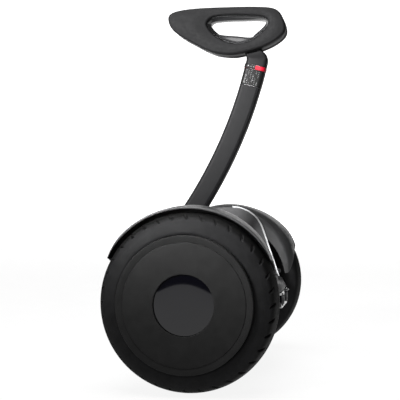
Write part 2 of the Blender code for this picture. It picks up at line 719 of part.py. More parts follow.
def build_light_strip(name, side, mats):
    """Rear light along the side panel's edge, with a dip between its two lit stretches."""
    edge = panel_edge()
    path = [(point, outward(edge, i), STRIP_DEPTH) for i, point in enumerate(edge)]
    knee = len(edge) - 3
    above = (edge[knee - 1] - edge[knee]).normalized() * STRIP_BREAK
    below = (edge[knee + 1] - edge[knee]).normalized() * STRIP_BREAK
    before, after = Vector((above.y, -above.x)), Vector((-below.y, below.x))
    path[knee:knee + 1] = [
        (edge[knee] + above, before.normalized(), STRIP_DEPTH),
        (edge[knee] + 0.9 * above, before.normalized(), STRIP_BASE),
        (edge[knee], outward(edge, knee), STRIP_BASE),
        (edge[knee] + 0.9 * below, after.normalized(), STRIP_BASE),
        (edge[knee] + below, after.normalized(), STRIP_DEPTH),
    ]
    half = STRIP_WIDTH / 2
    rings = []
    for point, normal, depth in path:
        low, high = point + normal * GAP, point + normal * (GAP + depth)
        rings.append([
            (side * (PANEL_PLANE + u), -p.x, WHEEL_RADIUS + p.y)
            for u, p in ((-half, low), (half, low), (half, high), (-half, high))
        ])
    loft(f"{name}_light_strip", rings, mats["light_white"])


def body_half_length(x, inset=0.0):
    share = min(1.0, abs(x) / PANEL_PLANE)
    return BODY_HALF_LENGTH - BODY_BULGE * share * share - inset


def body_top(x, y, inset=0.0):
    """Height of the body: flat decks with a hump between them that rises towards the stem."""
    slope = HUMP_HALF_WIDTH - HUMP_CREST_HALF_WIDTH
    across = min(1.0, max(0.0, (HUMP_HALF_WIDTH - abs(x)) / slope))
    across = across * across * (3 - 2 * across)
    along = min(1.0, max(0.0, (y + BODY_HALF_LENGTH) / (PIVOT_FORWARD + BODY_HALF_LENGTH - 24)))
    along = along * along * (3 - 2 * along)
    ridge = HUMP_REAR_HEIGHT + (HUMP_FRONT_HEIGHT - HUMP_REAR_HEIGHT) * along
    return DECK_HEIGHT + (ridge - DECK_HEIGHT) * across - inset


def body_loft(name, half_width, inset, bottom, finish):
    """Outer or inner volume of the body shell, as sections from one side panel to the other."""
    section = (
        (0.90, 0.0), (0.975, 0.25), (1.0, 0.5), (0.99, 0.76), (0.95, 0.93), (0.87, 1.0),
        (0.66, 1.0), (0.44, 1.0), (0.2, 1.0), (-0.08, 1.0), (-0.4, 1.0), (-0.7, 1.0),
        (-0.87, 1.0), (-0.95, 0.93), (-0.99, 0.76), (-1.0, 0.5), (-0.975, 0.25), (-0.90, 0.0),
    )
    slope = HUMP_HALF_WIDTH - HUMP_CREST_HALF_WIDTH
    stations = [half_width, 0.68 * half_width]
    stations += [HUMP_HALF_WIDTH - slope * k / 3 for k in range(4)]
    rings = []
    for x in [-x for x in stations] + stations[::-1]:
        half = body_half_length(x, inset)
        ring = []
        for fy, fz in section:
            top = body_top(x, fy * half, inset)
            ring.append((x, fy * half, bottom + fz * (top - bottom)))
        rings.append(ring)
    return loft(name, rings, finish, smooth_angle=28)


def build_body_shell(mats):
    shell = body_loft("body_shell", SHELL_HALF_WIDTH, 0.0, BODY_BOTTOM, mats["satin_black"])
    inner = body_loft("inner", SHELL_HALF_WIDTH - SHELL_WALL, SHELL_WALL, BODY_BOTTOM - 6, None)
    apply_boolean(shell, inner)
    # Slot through which the stem's socket leans, long enough for its neck
    travel = math.sin(math.radians(LEAN_LIMIT)) * (HUMP_FRONT_HEIGHT - PIVOT_HEIGHT)
    half_slot = STEM_WIDTH / 2 + travel + 2 * RUN_GAP
    slot = [
        (x, PIVOT_FORWARD + y)
        for x, y in rounded_box(half_slot, BARREL_LENGTH / 2 - 0.5, 6)
    ]
    apply_boolean(shell, prism_z("slot", slot, PIVOT_HEIGHT, HUMP_FRONT_HEIGHT + 20, None, 0))
    # Windows for the rear controls and the front lamp
    for size, height, end in (
        (REAR_PANEL_SIZE, REAR_PANEL_HEIGHT, -1), (LAMP_SIZE, LAMP_HEIGHT, 1),
    ):
        outline = window_outline(size, height, GAP)
        near, far = end * (BODY_HALF_LENGTH - 12), end * (BODY_HALF_LENGTH + 10)
        apply_boolean(shell, prism_y("window", outline, near, far, None, 0))
    # The axles pass through both end walls
    for _, side in SIDES:
        hole = around(AXLE_RADIUS + 2, SMALL_FACETS)
        u0, u1 = SHELL_HALF_WIDTH - 3 * SHELL_WALL, SHELL_HALF_WIDTH + SHELL_WALL
        cutter = turned("hole", [(u0, 0), (u0, hole), (u1, hole), (u1, 0)],
                        SMALL_FACETS, None, side)
        apply_boolean(shell, cutter)


def window_outline(size, height, margin):
    half_a, half_b = size[0] / 2 + margin, size[1] / 2 + margin
    return [(x, height + z) for x, z in rounded_box(half_a, half_b, 0.35 * size[1])]


def build_frame(mats):
    frame = block("chassis_frame", (-FRAME_END, -FRAME_HALF_LENGTH, BODY_BOTTOM),
                  (FRAME_END, FRAME_HALF_LENGTH, FRAME_TOP), mats["aluminium"])
    half_x, half_y = AXLE_SEAT_START - FRAME_WALL, FRAME_HALF_LENGTH - FRAME_WALL
    pocket = block("pocket", (-half_x, -half_y, 0), (half_x, half_y, FRAME_ROOF), None)
    apply_boolean(frame, pocket)
    # Four more pockets beside the axle seats
    near = CLAMP_WIDTH / 2 + FRAME_WALL
    for _, side in SIDES:
        for y0, y1 in ((-half_y, -near), (near, half_y)):
            x0, x1 = sorted((side * (half_x - 2), side * (FRAME_END - FRAME_WALL)))
            corner = block("corner", (x0, y0, 0), (x1, y1, FRAME_ROOF - 1), None)
            apply_boolean(frame, corner)
    # Nose and yoke that carry the steering pivot
    reach = PIVOT_FORWARD + BARREL_LENGTH / 2 + RUN_GAP
    nose = block("nose", (-BARREL_RADIUS, FRAME_HALF_LENGTH - 4, FRAME_TOP - NOSE_HEIGHT),
                 (BARREL_RADIUS, reach + YOKE_WALL, FRAME_TOP), None)
    apply_boolean(frame, nose, "UNION")
    cheek = [(BARREL_RADIUS - 6, FRAME_TOP - 3), (BUSH_RADIUS + 2, PIVOT_HEIGHT)]
    for k in range(1, 6):
        angle = math.pi * k / 6
        cheek.append(((BUSH_RADIUS + 2) * math.cos(angle),
                      PIVOT_HEIGHT + (BUSH_RADIUS + 2) * math.sin(angle)))
    cheek += [(-BUSH_RADIUS - 2, PIVOT_HEIGHT), (6 - BARREL_RADIUS, FRAME_TOP - 3)]
    for y in (reach, 2 * PIVOT_FORWARD - reach - YOKE_WALL):
        apply_boolean(frame, prism_y("cheek", cheek, y, y + YOKE_WALL, None, 0), "UNION")
    bore = tube_along_y("bore", 0, around(PIVOT_PIN_RADIUS + GAP, SMALL_FACETS),
                        2 * PIVOT_FORWARD - reach - 2 * YOKE_WALL, reach + 2 * YOKE_WALL,
                        (0, PIVOT_HEIGHT), None)
    apply_boolean(frame, bore)
    # Seats for the axle ends and their clamps, open below
    top = around(AXLE_RADIUS + GAP, SMALL_FACETS)
    foot = CLAMP_WIDTH / 2 + GAP
    outline = [(-foot, 0), (foot, 0), (foot, AXLE_LEDGE), (top, AXLE_LEDGE), (top, WHEEL_RADIUS)]
    for k in range(1, SMALL_FACETS // 2):
        angle = 2 * math.pi * k / SMALL_FACETS
        outline.append((top * math.cos(angle), WHEEL_RADIUS + top * math.sin(angle)))
    outline += [(-top, WHEEL_RADIUS), (-top, AXLE_LEDGE), (-foot, AXLE_LEDGE)]
    for _, side in SIDES:
        channel = prism_x("channel", outline, side * AXLE_SEAT_START, side * (FRAME_END + 10), None,
                          0)
        apply_boolean(frame, channel)


def build_axle_clamp(name, side, mats):
    half, tongue = CLAMP_WIDTH / 2, AXLE_RADIUS
    outline = [
        (-half, BODY_BOTTOM), (half, BODY_BOTTOM), (half, AXLE_LEDGE - GAP), (tongue, AXLE_LEDGE - GAP),
        (tongue, WHEEL_RADIUS - AXLE_RADIUS - GAP), (-tongue, WHEEL_RADIUS - AXLE_RADIUS - GAP),
        (-tongue, AXLE_LEDGE - GAP), (-half, AXLE_LEDGE - GAP),
    ]
    prism_x(f"{name}_axle_clamp", outline, side * (AXLE_SEAT_START + GAP), side * FRAME_END,
            mats["steel"], 0)


def build_bottom_cover(mats):
    top = BODY_BOTTOM - GAP
    rings = []
    for share in (-1, -0.97, -0.6, 0, 0.6, 0.97, 1):
        x = share * SHELL_HALF_WIDTH
        reach = 0.90 * body_half_length(x) - (6 if abs(share) == 1 else 0)
        low = top - (BOTTOM_COVER_DEPTH if abs(share) < 1 else BOTTOM_COVER_WALL + 0.5)
        rings.append([(x, -reach, top), (x, reach, top), (x, reach, top - BOTTOM_COVER_WALL),
                      (x, reach - 8, low), (x, 8 - reach, low),
                      (x, -reach, top - BOTTOM_COVER_WALL)])
    loft("bottom_cover", rings, mats["dark_plastic"], smooth_angle=15)


def build_electronics(mats):
    half = AXLE_SEAT_START - FRAME_WALL - BATTERY_END_GAP
    low, middle = BODY_BOTTOM, -BATTERY_BACK_SHIFT
    block("battery_pack", (-half, middle - BATTERY_WIDTH / 2, low),
          (half, middle + BATTERY_WIDTH / 2, low + BATTERY_HEIGHT), mats["battery"])
    roof = FRAME_ROOF - GAP
    front = FRAME_HALF_LENGTH - FRAME_WALL - 2
    block("control_board", (-BOARD_SIZE[0] / 2, front - BOARD_SIZE[1], roof - BOARD_SIZE[2]),
          (BOARD_SIZE[0] / 2, front, roof), mats["board"])


def build_foot_pad(name, side, mats):
    """Pressure sensor sheet with the ribbed rubber mat on it."""
    outer = PANEL_PLANE - PANEL_WALL / 2 - MAT_EDGE
    middle, half = (MAT_INNER + outer) / 2, (outer - MAT_INNER) / 2
    low = DECK_HEIGHT + GAP
    sheet = [(side * (middle + x), y)
             for x, y in rounded_box(half - 3, MAT_HALF_LENGTH - 3, 9)]
    prism_z(f"{name}_foot_sensor", sheet, low, low + SENSOR_THICKNESS, mats["board"])
    base = low + SENSOR_THICKNESS + GAP
    section = [(middle - half, base), (middle + half, base), (middle + half, base + MAT_BASE)]
    pitch = (2 * half - 4) / MAT_RIB_COUNT
    for k in range(MAT_RIB_COUNT):
        start = middle + half - 2 - k * pitch
        section += [(start, base + MAT_THICKNESS), (start - 0.7 * pitch, base + MAT_THICKNESS),
                    (start - 0.78 * pitch, base + MAT_BASE + 0.4),
                    (start - 0.92 * pitch, base + MAT_BASE + 0.4)]
    section.append((middle - half, base + MAT_BASE))
    rings = []
    for share, squeeze in ((-1, 0.90), (-0.96, 1.0), (0.96, 1.0), (1, 0.90)):
        rings.append([(side * (middle + (u - middle) * squeeze), share * MAT_HALF_LENGTH, z)
                      for u, z in section])
    loft(f"{name}_foot_mat", rings, mats["rubber"], smooth_angle=15)


def build_rear_controls(mats):
    """Rear control panel with the power button, the charging socket and its hinged flap."""
    face = -BODY_HALF_LENGTH - TRIM_STANDOUT
    back = face + REAR_PANEL_WALL
    outline = window_outline(REAR_PANEL_SIZE, REAR_PANEL_HEIGHT, 0)
    panel = prism_y("rear_panel", outline, face, back, mats["gloss_black"])
    z = REAR_PANEL_HEIGHT
    for x, radius in ((BUTTON_OFFSET, BEZEL_RADIUS), (PORT_OFFSET, PORT_RADIUS)):
        hole = around(radius + GAP, SMALL_FACETS)
        apply_boolean(panel, tube_along_y("hole", 0, hole, face - 5, back + 5, (x, z), None))
    # Two ears hold the flap's hinge pin above the socket
    hinge = flap_hinge()
    half = 0.55 * FLAP_RADIUS
    arc = [
        (hinge.y + KNUCKLE_RADIUS * math.cos(math.pi * (0.5 + k / 6)),
         hinge.z + KNUCKLE_RADIUS * math.sin(math.pi * (0.5 + k / 6))) for k in range(7)
    ]
    ear_outline = arc + [(face + 1, hinge.z - KNUCKLE_RADIUS), (face + 1, hinge.z + KNUCKLE_RADIUS)]
    for end in (-1, 1):
        near = PORT_OFFSET + end * (half + GAP)
        far = PORT_OFFSET + end * (half + GAP + EAR_WALL)
        apply_boolean(panel, prism_x("ear", ear_outline, near, far, None, 0), "UNION")
    bore = around(FLAP_PIN_RADIUS + GAP, 8)
    drill = prism_x("drill", [(hinge.y + a, hinge.z + b) for a, b in circle(bore, 8)],
                    PORT_OFFSET - 2 * half, PORT_OFFSET + 2 * half, None, 0)
    apply_boolean(panel, drill)

    centre = (BUTTON_OFFSET, z)
    tube_along_y("button_bezel", around(BUTTON_RADIUS + GAP, SMALL_FACETS), BEZEL_RADIUS,
                 face - BEZEL_PROUD, back + 2, centre, mats["steel"])
    front = face - BEZEL_PROUD - BUTTON_PROUD
    tube_along_y("power_button", 0, BUTTON_RADIUS, front, front + BUTTON_LENGTH, centre,
                 mats["gloss_black"])

    centre = (PORT_OFFSET, z)
    port = tube_along_y("charge_port", 0, PORT_RADIUS, face, face + PORT_LENGTH, centre,
                        mats["dark_plastic"])
    socket = tube_along_y("socket", 0, PORT_BORE, face - 2, face + PORT_LENGTH - PORT_FLOOR, centre,
                          None)
    apply_boolean(port, socket)

    lid = tube_along_y("port_flap", 0, FLAP_RADIUS, face - GAP - FLAP_WALL, face - GAP, centre,
                       mats["rubber"])
    root = z + 0.6 * FLAP_RADIUS
    outline = [(face - GAP, root), (face - GAP, hinge.z)]
    for k in range(1, 7):
        angle = math.pi * k / 6
        outline.append((hinge.y + KNUCKLE_RADIUS * math.cos(angle),
                        hinge.z + KNUCKLE_RADIUS * math.sin(angle)))
    outline.append((face - GAP - 0.7 * FLAP_WALL, root))
    knuckle = prism_x("knuckle", outline, PORT_OFFSET - half, PORT_OFFSET + half, None, 0)
    apply_boolean(lid, knuckle, "UNION")
    drill = prism_x("drill", [(hinge.y + a, hinge.z + b) for a, b in circle(bore, 8)],
                    PORT_OFFSET - 2 * half, PORT_OFFSET + 2 * half, None, 0)
    apply_boolean(lid, drill)
    reach = half + GAP + EAR_WALL
    prism_x("flap_pin", [(hinge.y + a, hinge.z + b) for a, b in circle(FLAP_PIN_RADIUS, 8)],
            PORT_OFFSET - reach, PORT_OFFSET + reach, mats["steel"], 0)


def flap_hinge():
    face = -BODY_HALF_LENGTH - TRIM_STANDOUT
    return Vector((PORT_OFFSET, face - GAP - KNUCKLE_RADIUS, REAR_PANEL_HEIGHT + FLAP_RADIUS + 0.6))


def build_front_lamp(mats):
    outline = window_outline(LAMP_SIZE, LAMP_HEIGHT, 0)
    face = BODY_HALF_LENGTH + TRIM_STANDOUT
    prism_y("front_lamp", outline, face - LAMP_WALL, face, mats["light_white"])


def shift_origin(obj, point):
    """Moves an object's origin to a point in millimetres and leaves its shape in place."""
    place = Vector(point) * MM
    for vert in obj.data.vertices:
        vert.co -= place
    obj.location = place


def arc_frame(z):
    """Point of the stem's middle line at a height, and the unit vector to its rear face."""
    y = ARC_CENTRE_Y - math.sqrt(ARC_RADIUS ** 2 - (z - ARC_CENTRE_Z) ** 2)
    rear = Vector((0, y - ARC_CENTRE_Y, z - ARC_CENTRE_Z)).normalized()
    return Vector((0, y, z)), rear


def stem_ring(z, inset, steps=3):
    """Section of the stem at a height, smaller than its outside by the inset."""
    centre, rear = arc_frame(z)
    corner = max(2.0, STEM_CORNER - inset)
    outline = rounded_box(STEM_WIDTH / 2 - inset, STEM_DEPTH / 2 - inset, corner, steps)
    return [centre + Vector((x, 0, 0)) + rear * d for x, d in outline]


def stem_heights(low, high, count):
    """Heights that lie at even steps along the arc."""
    def angle(z):
        return math.asin((ARC_CENTRE_Z - z) / ARC_RADIUS)
    start, end = angle(low), angle(high)
    return [ARC_CENTRE_Z - ARC_RADIUS * math.sin(start + (end - start) * k / count)
            for k in range(count + 1)]


def stem_tube(name, low, high, count, inset, wall, finish, steps=3):
    heights = stem_heights(low, high, count)
    rings = [stem_ring(z, inset, steps) for z in heights]
    rings += [stem_ring(z, inset + wall, steps) for z in reversed(heights)]
    return loft(name, rings, finish, capped=False)


def build_steering(mats):
    """Socket with its barrel, the pivot pin, bushes and spring, and the curved stem."""
    y0 = PIVOT_FORWARD - BARREL_LENGTH / 2
    y1 = PIVOT_FORWARD + BARREL_LENGTH / 2
    centre = (0, PIVOT_HEIGHT)
    socket = tube_along_y("stem_socket", 0, BARREL_RADIUS, y0, y1, centre, mats["stem_paint"], 24)
    low = []
    for x, y in rounded_box(STEM_WIDTH / 2 - 2, BARREL_LENGTH / 2 - 4, 7):
        low.append((x, PIVOT_FORWARD - y, PIVOT_HEIGHT + 0.5 * BARREL_RADIUS))
    neck = [low, [(x, y, HUMP_FRONT_HEIGHT + 0.5) for x, y, _ in low]]
    neck += [stem_ring(z, -SOCKET_WALL) for z in stem_heights(SOCKET_BASE_Z + 4, SOCKET_TOP_Z, 2)]
    neck.append(stem_ring(SOCKET_TOP_Z + 2, -0.5 * SOCKET_WALL))
    apply_boolean(socket, loft("neck", neck, None), "UNION")
    seat = [stem_ring(z, -GAP) for z in stem_heights(SOCKET_BASE_Z, SOCKET_TOP_Z + 12, 3)]
    apply_boolean(socket, loft("seat", seat, None))
    bore = tube_along_y("bore", 0, around(BUSH_RADIUS + GAP, 24), y0 - 2, y1 + 2, centre, None, 24)
    apply_boolean(socket, bore)

    reach = BARREL_LENGTH / 2 + RUN_GAP + YOKE_WALL
    tube_along_y("pivot_pin", 0, PIVOT_PIN_RADIUS, PIVOT_FORWARD - reach, PIVOT_FORWARD + reach,
                 centre, mats["steel"], BUSH_FACETS)
    pin_bore = around(PIVOT_PIN_RADIUS + GAP, BUSH_FACETS)
    length = 0.26 * BARREL_LENGTH
    for bush, start, end in (("rear", y0, y0 + length), ("front", y1 - length, y1)):
        tube_along_y(f"{bush}_bush", pin_bore, BUSH_RADIUS, start, end, centre, mats["steel"],
                     BUSH_FACETS)
    tube_along_y("return_spring", pin_bore, BUSH_RADIUS - 0.4, y0 + length + GAP,
                 y1 - length - GAP, centre, mats["rubber"], BUSH_FACETS)

    stem_tube("stem_tube", SOCKET_BASE_Z + GAP, SLEEVE_BASE_Z - GAP, 8, 0, STEM_WALL,
              mats["stem_paint"])
    sleeve = stem_tube("scale_sleeve", SLEEVE_BASE_Z, RING_BASE_Z - GAP, 1, -0.2, STEM_WALL,
                       mats["gloss_black"])
    # Set screw that locks the height, sunk in the sleeve's rear face
    middle, rear = arc_frame(CLAMP_SCREW_Z)
    start = middle + rear * (STEM_DEPTH / 2 - STEM_WALL)
    end = middle + rear * (STEM_DEPTH / 2 + 0.1)
    up = Vector((1, 0, 0)).cross(rear)

    def screw_rings(radius, first, last):
        return [[point + Vector((a, 0, 0)) + up * b for a, b in circle(radius, 8)]
                for point in (first, last)]
    hole = loft("hole", screw_rings(around(SET_SCREW_RADIUS + GAP, 8), start - rear * 3,
                                    end + rear * 3), None, smooth_angle=0)
    apply_boolean(sleeve, hole)
    loft("set_screw", screw_rings(SET_SCREW_RADIUS, start, end), mats["steel"])
    stem_tube("lock_ring", RING_BASE_Z, RING_TOP_Z - GAP, 1, -0.5, STEM_WALL + 0.4, mats["red"])


def build_head(mats):
    count = 44
    outline = polar_outline(HEAD_OUTLINE, count)
    hole = polar_outline(HOLE_OUTLINE, count, LINER_WALL + GAP)
    half = CORE_HALF_WIDTH
    loops = [
        [(x, p.x, p.y) for p in shape] for x, shape in
        ((-half, outline), (half, outline), (half, hole), (-half, hole))
    ]
    core = loft("head_core", loops, mats["dark_plastic"], capped=False)
    base = stem_ring(RING_TOP_Z, 0)
    neck = [base, stem_ring(RING_TOP_Z + NECK_HEIGHT, 0)]
    for height, front, back, narrower in (
        (1.9 * NECK_HEIGHT, 4.0, -5.0, 2.4), (2.5 * NECK_HEIGHT, 12.0, -12.0, 2.8),
        (3.1 * NECK_HEIGHT, 24.0, -15.5, 3.2),
    ):
        middle, _ = arc_frame(RING_TOP_Z + height)
        half = STEM_DEPTH / 2 + 0.5 * (front + back)
        centre_y = middle.y + 0.5 * (front - back)
        neck.append([
            (x, centre_y - d, middle.z)
            for x, d in rounded_box(STEM_WIDTH / 2 - narrower, half, STEM_CORNER - 2)
        ])
    apply_boolean(core, loft("neck", neck, None), "UNION")
    socket = [stem_ring(z, INNER_TUBE_INSET - GAP) for z in (RING_TOP_Z - 4, RING_TOP_Z + 7)]
    apply_boolean(core, loft("socket", socket, None))

    stem_tube("inner_tube", INNER_TUBE_BASE_Z, RING_TOP_Z + 6, 4, INNER_TUBE_INSET, STEM_WALL,
              mats["aluminium"], steps=2)

    lip = PAD_FACE - 2.0
    inside = polar_outline(HOLE_OUTLINE, count, 0)
    waist = polar_outline(WAIST_OUTLINE, count, 0)
    outside = polar_outline(HOLE_OUTLINE, count, LINER_WALL)
    ridge = WAIST_HALF_WIDTH
    loops = [
        [(x, p.x, p.y) for p in shape] for x, shape in
        ((-lip, outside), (lip, outside), (lip, inside), (ridge, waist), (-ridge, waist),
         (-lip, inside))
    ]
    loft("hole_liner", loops, mats["liner"], capped=False)
    for name, side in SIDES:
        build_pad(name, side, mats, count, outline, hole)


def build_pad(name, side, mats, count, outline, hole):
    """Soft knee pad: round edges, a crowned face, fuller in the lobe ahead of the hole."""
    low, face = CORE_HALF_WIDTH + GAP, PAD_FACE
    rings = []
    section = [
        (0.0, 0.0, 0), (0.0, face - low - PAD_EDGE_ROUND, 0),
        (0.3 * PAD_EDGE_ROUND, face - low - 0.3 * PAD_EDGE_ROUND, 0),
        (PAD_EDGE_ROUND, face - low, 0),
    ]
    for k in range(1, 4):
        section.append((PAD_EDGE_ROUND, face - low, k))
    section += [
        (PAD_EDGE_ROUND, face - low, 4), (0.3 * PAD_EDGE_ROUND, face - low - 0.3 * PAD_EDGE_ROUND, 5),
        (0.0, face - low - 0.7 * PAD_EDGE_ROUND, 5), (0.0, 0.0, 5),
    ]
    for inset, height, step in section:
        ring = []
        for rim, bore in zip(outline, hole):
            width = (rim - bore).length
            inward = (bore - rim).normalized()
            inset_here = min(inset, 0.3 * width)
            if step == 0:
                place, lift = rim + inward * (inset_here + PAD_INSET), height
            elif step == 5:
                place, lift = bore - inward * inset_here, height
            else:
                start, end = min(PAD_EDGE_ROUND, 0.3 * width) + PAD_INSET, width
                end -= min(PAD_EDGE_ROUND, 0.3 * width)
                share = step / 4
                place = rim + inward * (start + (end - start) * share)
                crown = PAD_CROWN * min(1.0, (width / 60.0) ** 1.5)
                lift = height + crown * math.sin(math.pi * share)
            ring.append((side * (low + lift), place.x, place.y))
        rings.append(ring)
    loft(f"{name}_knee_pad", rings, mats["soft_pad"], capped=False, smooth_angle=60)


def hang(name, place, pieces, parent=None):
    """Empty on a joint's axis, with the pieces that move about it."""
    axis = bpy.data.objects.new(name, None)
    axis.location = Vector(place) * MM
    bpy.context.scene.collection.objects.link(axis)
    if parent:
        axis.location -= parent.location
        axis.parent = parent
    for piece in pieces:
        obj = bpy.data.objects[piece]
        shift_origin(obj, place)
        obj.parent = axis
        obj.location = (0, 0, 0)
    return axis


def hang_moving_pieces():
    turning = ("tyre", "wheel_rim", "hub_cover", "hub_cap", "magnet_ring", "motor_cover",
               "inner_bearing", "outer_bearing", "tyre_valve")
    for name, side in SIDES:
        hang(f"{name}_wheel_axis", (side * TYRE_MID, 0, WHEEL_RADIUS),
             [f"{name}_{piece}" for piece in turning])
    lean = hang("lean_axis", (0, PIVOT_FORWARD, PIVOT_HEIGHT), (
        "stem_socket", "rear_bush", "front_bush", "return_spring", "stem_tube", "scale_sleeve",
        "lock_ring", "set_screw",
    ))
    hang("height_axis", (0, ARC_CENTRE_Y, ARC_CENTRE_Z), (
        "inner_tube", "head_core", "hole_liner", "left_knee_pad", "right_knee_pad",
    ), lean)
    hang("button_axis", (BUTTON_OFFSET, -BODY_HALF_LENGTH, REAR_PANEL_HEIGHT), ["power_button"])
    hang("flap_axis", flap_hinge(), ["port_flap"])


def main():
    clear_scene()
    mats = make_materials()
    for name, side in SIDES:
        build_tyre(name, side, mats)
        build_rim(name, side, mats)
        build_hub_cover(name, side, mats)
        build_hub_cap(name, side, mats)
        build_motor(name, side, mats)
        build_valve(name, side, mats)
        build_fender(name, side, mats)
        build_side_panel(name, side, mats)
        build_light_strip(name, side, mats)
        build_foot_pad(name, side, mats)
        build_axle_clamp(name, side, mats)
    build_body_shell(mats)
    build_frame(mats)
    build_bottom_cover(mats)
    build_electronics(mats)
    build_rear_controls(mats)
    build_front_lamp(mats)
    build_steering(mats)
    build_head(mats)
    hang_moving_pieces()


main()
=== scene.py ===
"""Look of the self-balancing scooter: finer surfaces, materials, light and camera.

Lengths are in millimetres and turned into metres when a mesh is made. X points to the vehicle's
right, Y forward and Z up, as in the frame.
"""

import json
import math

import bmesh
import bpy
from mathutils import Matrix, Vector


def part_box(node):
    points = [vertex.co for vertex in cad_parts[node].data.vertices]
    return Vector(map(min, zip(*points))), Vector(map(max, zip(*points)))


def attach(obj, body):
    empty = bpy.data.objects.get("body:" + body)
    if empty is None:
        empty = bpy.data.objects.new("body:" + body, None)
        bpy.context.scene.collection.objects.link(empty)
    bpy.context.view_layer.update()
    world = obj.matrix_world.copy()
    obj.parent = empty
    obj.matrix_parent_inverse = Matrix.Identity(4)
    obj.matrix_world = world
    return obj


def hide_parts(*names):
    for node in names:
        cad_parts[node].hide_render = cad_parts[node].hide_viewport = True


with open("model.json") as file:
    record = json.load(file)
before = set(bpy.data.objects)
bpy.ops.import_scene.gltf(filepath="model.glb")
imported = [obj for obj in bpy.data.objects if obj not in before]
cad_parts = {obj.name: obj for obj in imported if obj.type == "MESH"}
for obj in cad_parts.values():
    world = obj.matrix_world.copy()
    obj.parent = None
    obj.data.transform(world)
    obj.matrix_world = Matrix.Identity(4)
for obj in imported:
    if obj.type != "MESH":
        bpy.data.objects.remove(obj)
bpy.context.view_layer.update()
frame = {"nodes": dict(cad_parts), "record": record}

MM = 0.001
SIDES = (("left", -1), ("right", 1))

# Camera, as the photograph was taken: level, from the rear left
CAMERA_PLACE = (-1.6633, -0.2673, 0.28525)
CAMERA_AIM = (0.985, 0.1720, 0.0)
CAMERA_LENS = 88.8


def box(node):
    """A node's corners in millimetres."""
    low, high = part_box(node)
    return low / MM, high / MM


# Sizes read from the frame
TYRE_LOW, TYRE_HIGH = box("right_tyre")
WHEEL_RADIUS = TYRE_HIGH.z / 2
TYRE_MID = (TYRE_LOW.x + TYRE_HIGH.x) / 2
TYRE_HALF = (TYRE_HIGH.x - TYRE_LOW.x) / 2
COVER_LOW, COVER_HIGH = box("right_hub_cover")
DISC_FACE = COVER_HIGH.x
DISC_EDGE = (COVER_HIGH.z - COVER_LOW.z) / 2
CAP_LOW, CAP_HIGH = box("right_hub_cap")
CAP_RADIUS = (CAP_HIGH.z - CAP_LOW.z) / 2
FENDER_LOW, FENDER_HIGH = box("right_fender")
GAP = 0.3


def add_camera():
    data = bpy.data.cameras.new("camera")
    data.lens = CAMERA_LENS
    data.clip_start = 0.05
    camera = bpy.data.objects.new("camera", data)
    camera.location = CAMERA_PLACE
    camera.rotation_euler = Vector(CAMERA_AIM).to_track_quat("-Z", "Y").to_euler()
    bpy.context.scene.collection.objects.link(camera)
    bpy.context.scene.camera = camera


add_camera()


# Materials

NOISE_RANGE = (0.3, 0.7)
WORN_EDGE_RANGE = (0.52, 0.62)


def surface(name, colour, rough, metallic=0.0, mottle=0.12, mottle_size=14.0, rough_spread=0.06,
            grain=0.0, grain_size=0.6, pattern="NOISE", wear=0.0, shine=0.5):
    """Procedural finish: colour and gloss that vary softly, a fine grain, and paler edges."""
    made = bpy.data.materials.new(name)
    made.use_nodes = True
    tree = made.node_tree
    shader = tree.nodes["Principled BSDF"]
    shader.inputs["Metallic"].default_value = metallic
    shader.inputs["Specular IOR Level"].default_value = shine
    place = tree.nodes.new("ShaderNodeTexCoord").outputs["Object"]

    def noise(size, detail):
        node = tree.nodes.new("ShaderNodeTexNoise")
        node.inputs["Scale"].default_value = 1 / (size * MM)
        node.inputs["Detail"].default_value = detail
        tree.links.new(place, node.inputs["Vector"])
        return node.outputs["Fac"]

    def spread(source, low, high):
        node = tree.nodes.new("ShaderNodeMapRange")
        node.inputs["From Min"].default_value = NOISE_RANGE[0]
        node.inputs["From Max"].default_value = NOISE_RANGE[1]
        node.inputs["To Min"].default_value = low
        node.inputs["To Max"].default_value = high
        tree.links.new(source, node.inputs["Value"])
        return node.outputs["Result"]

    ramp = tree.nodes.new("ShaderNodeValToRGB")
    shades = (1 - mottle, 1 + mottle)
    for stop, position, shade in zip(ramp.color_ramp.elements, NOISE_RANGE, shades):
        stop.position = position
        stop.color = (*(c * shade for c in colour), 1)
    tree.links.new(noise(mottle_size, 4), ramp.inputs["Fac"])
    paint = ramp.outputs["Color"]
    if wear:
        edges = tree.nodes.new("ShaderNodeNewGeometry").outputs["Pointiness"]
        mask = tree.nodes.new("ShaderNodeMapRange")
        mask.inputs["From Min"].default_value = WORN_EDGE_RANGE[0]
        mask.inputs["From Max"].default_value = WORN_EDGE_RANGE[1]
        mask.inputs["To Max"].default_value = wear
        tree.links.new(edges, mask.inputs["Value"])
        mix = tree.nodes.new("ShaderNodeMix")
        mix.data_type = "RGBA"
        mix.inputs["B"].default_value = (*(min(1, c * 2.2 + 0.02) for c in colour), 1)
        tree.links.new(mask.outputs["Result"], mix.inputs["Factor"])
        tree.links.new(paint, mix.inputs["A"])
        paint = mix.outputs["Result"]
    tree.links.new(paint, shader.inputs["Base Color"])
    tree.links.new(spread(noise(mottle_size / 3, 3), rough - rough_spread, rough + rough_spread),
                   shader.inputs["Roughness"])
    if grain:
        if pattern == "VORONOI":
            cells = tree.nodes.new("ShaderNodeTexVoronoi")
            cells.inputs["Scale"].default_value = 1 / (grain_size * MM)
            tree.links.new(place, cells.inputs["Vector"])
            height = cells.outputs["Distance"]
        else:
            height = noise(grain_size, 2)
        bump = tree.nodes.new("ShaderNodeBump")
        bump.inputs["Strength"].default_value = grain
        bump.inputs["Distance"].default_value = 0.1 * grain_size * MM
        tree.links.new(height, bump.inputs["Height"])
        tree.links.new(bump.outputs["Normal"], shader.inputs["Normal"])
    return made


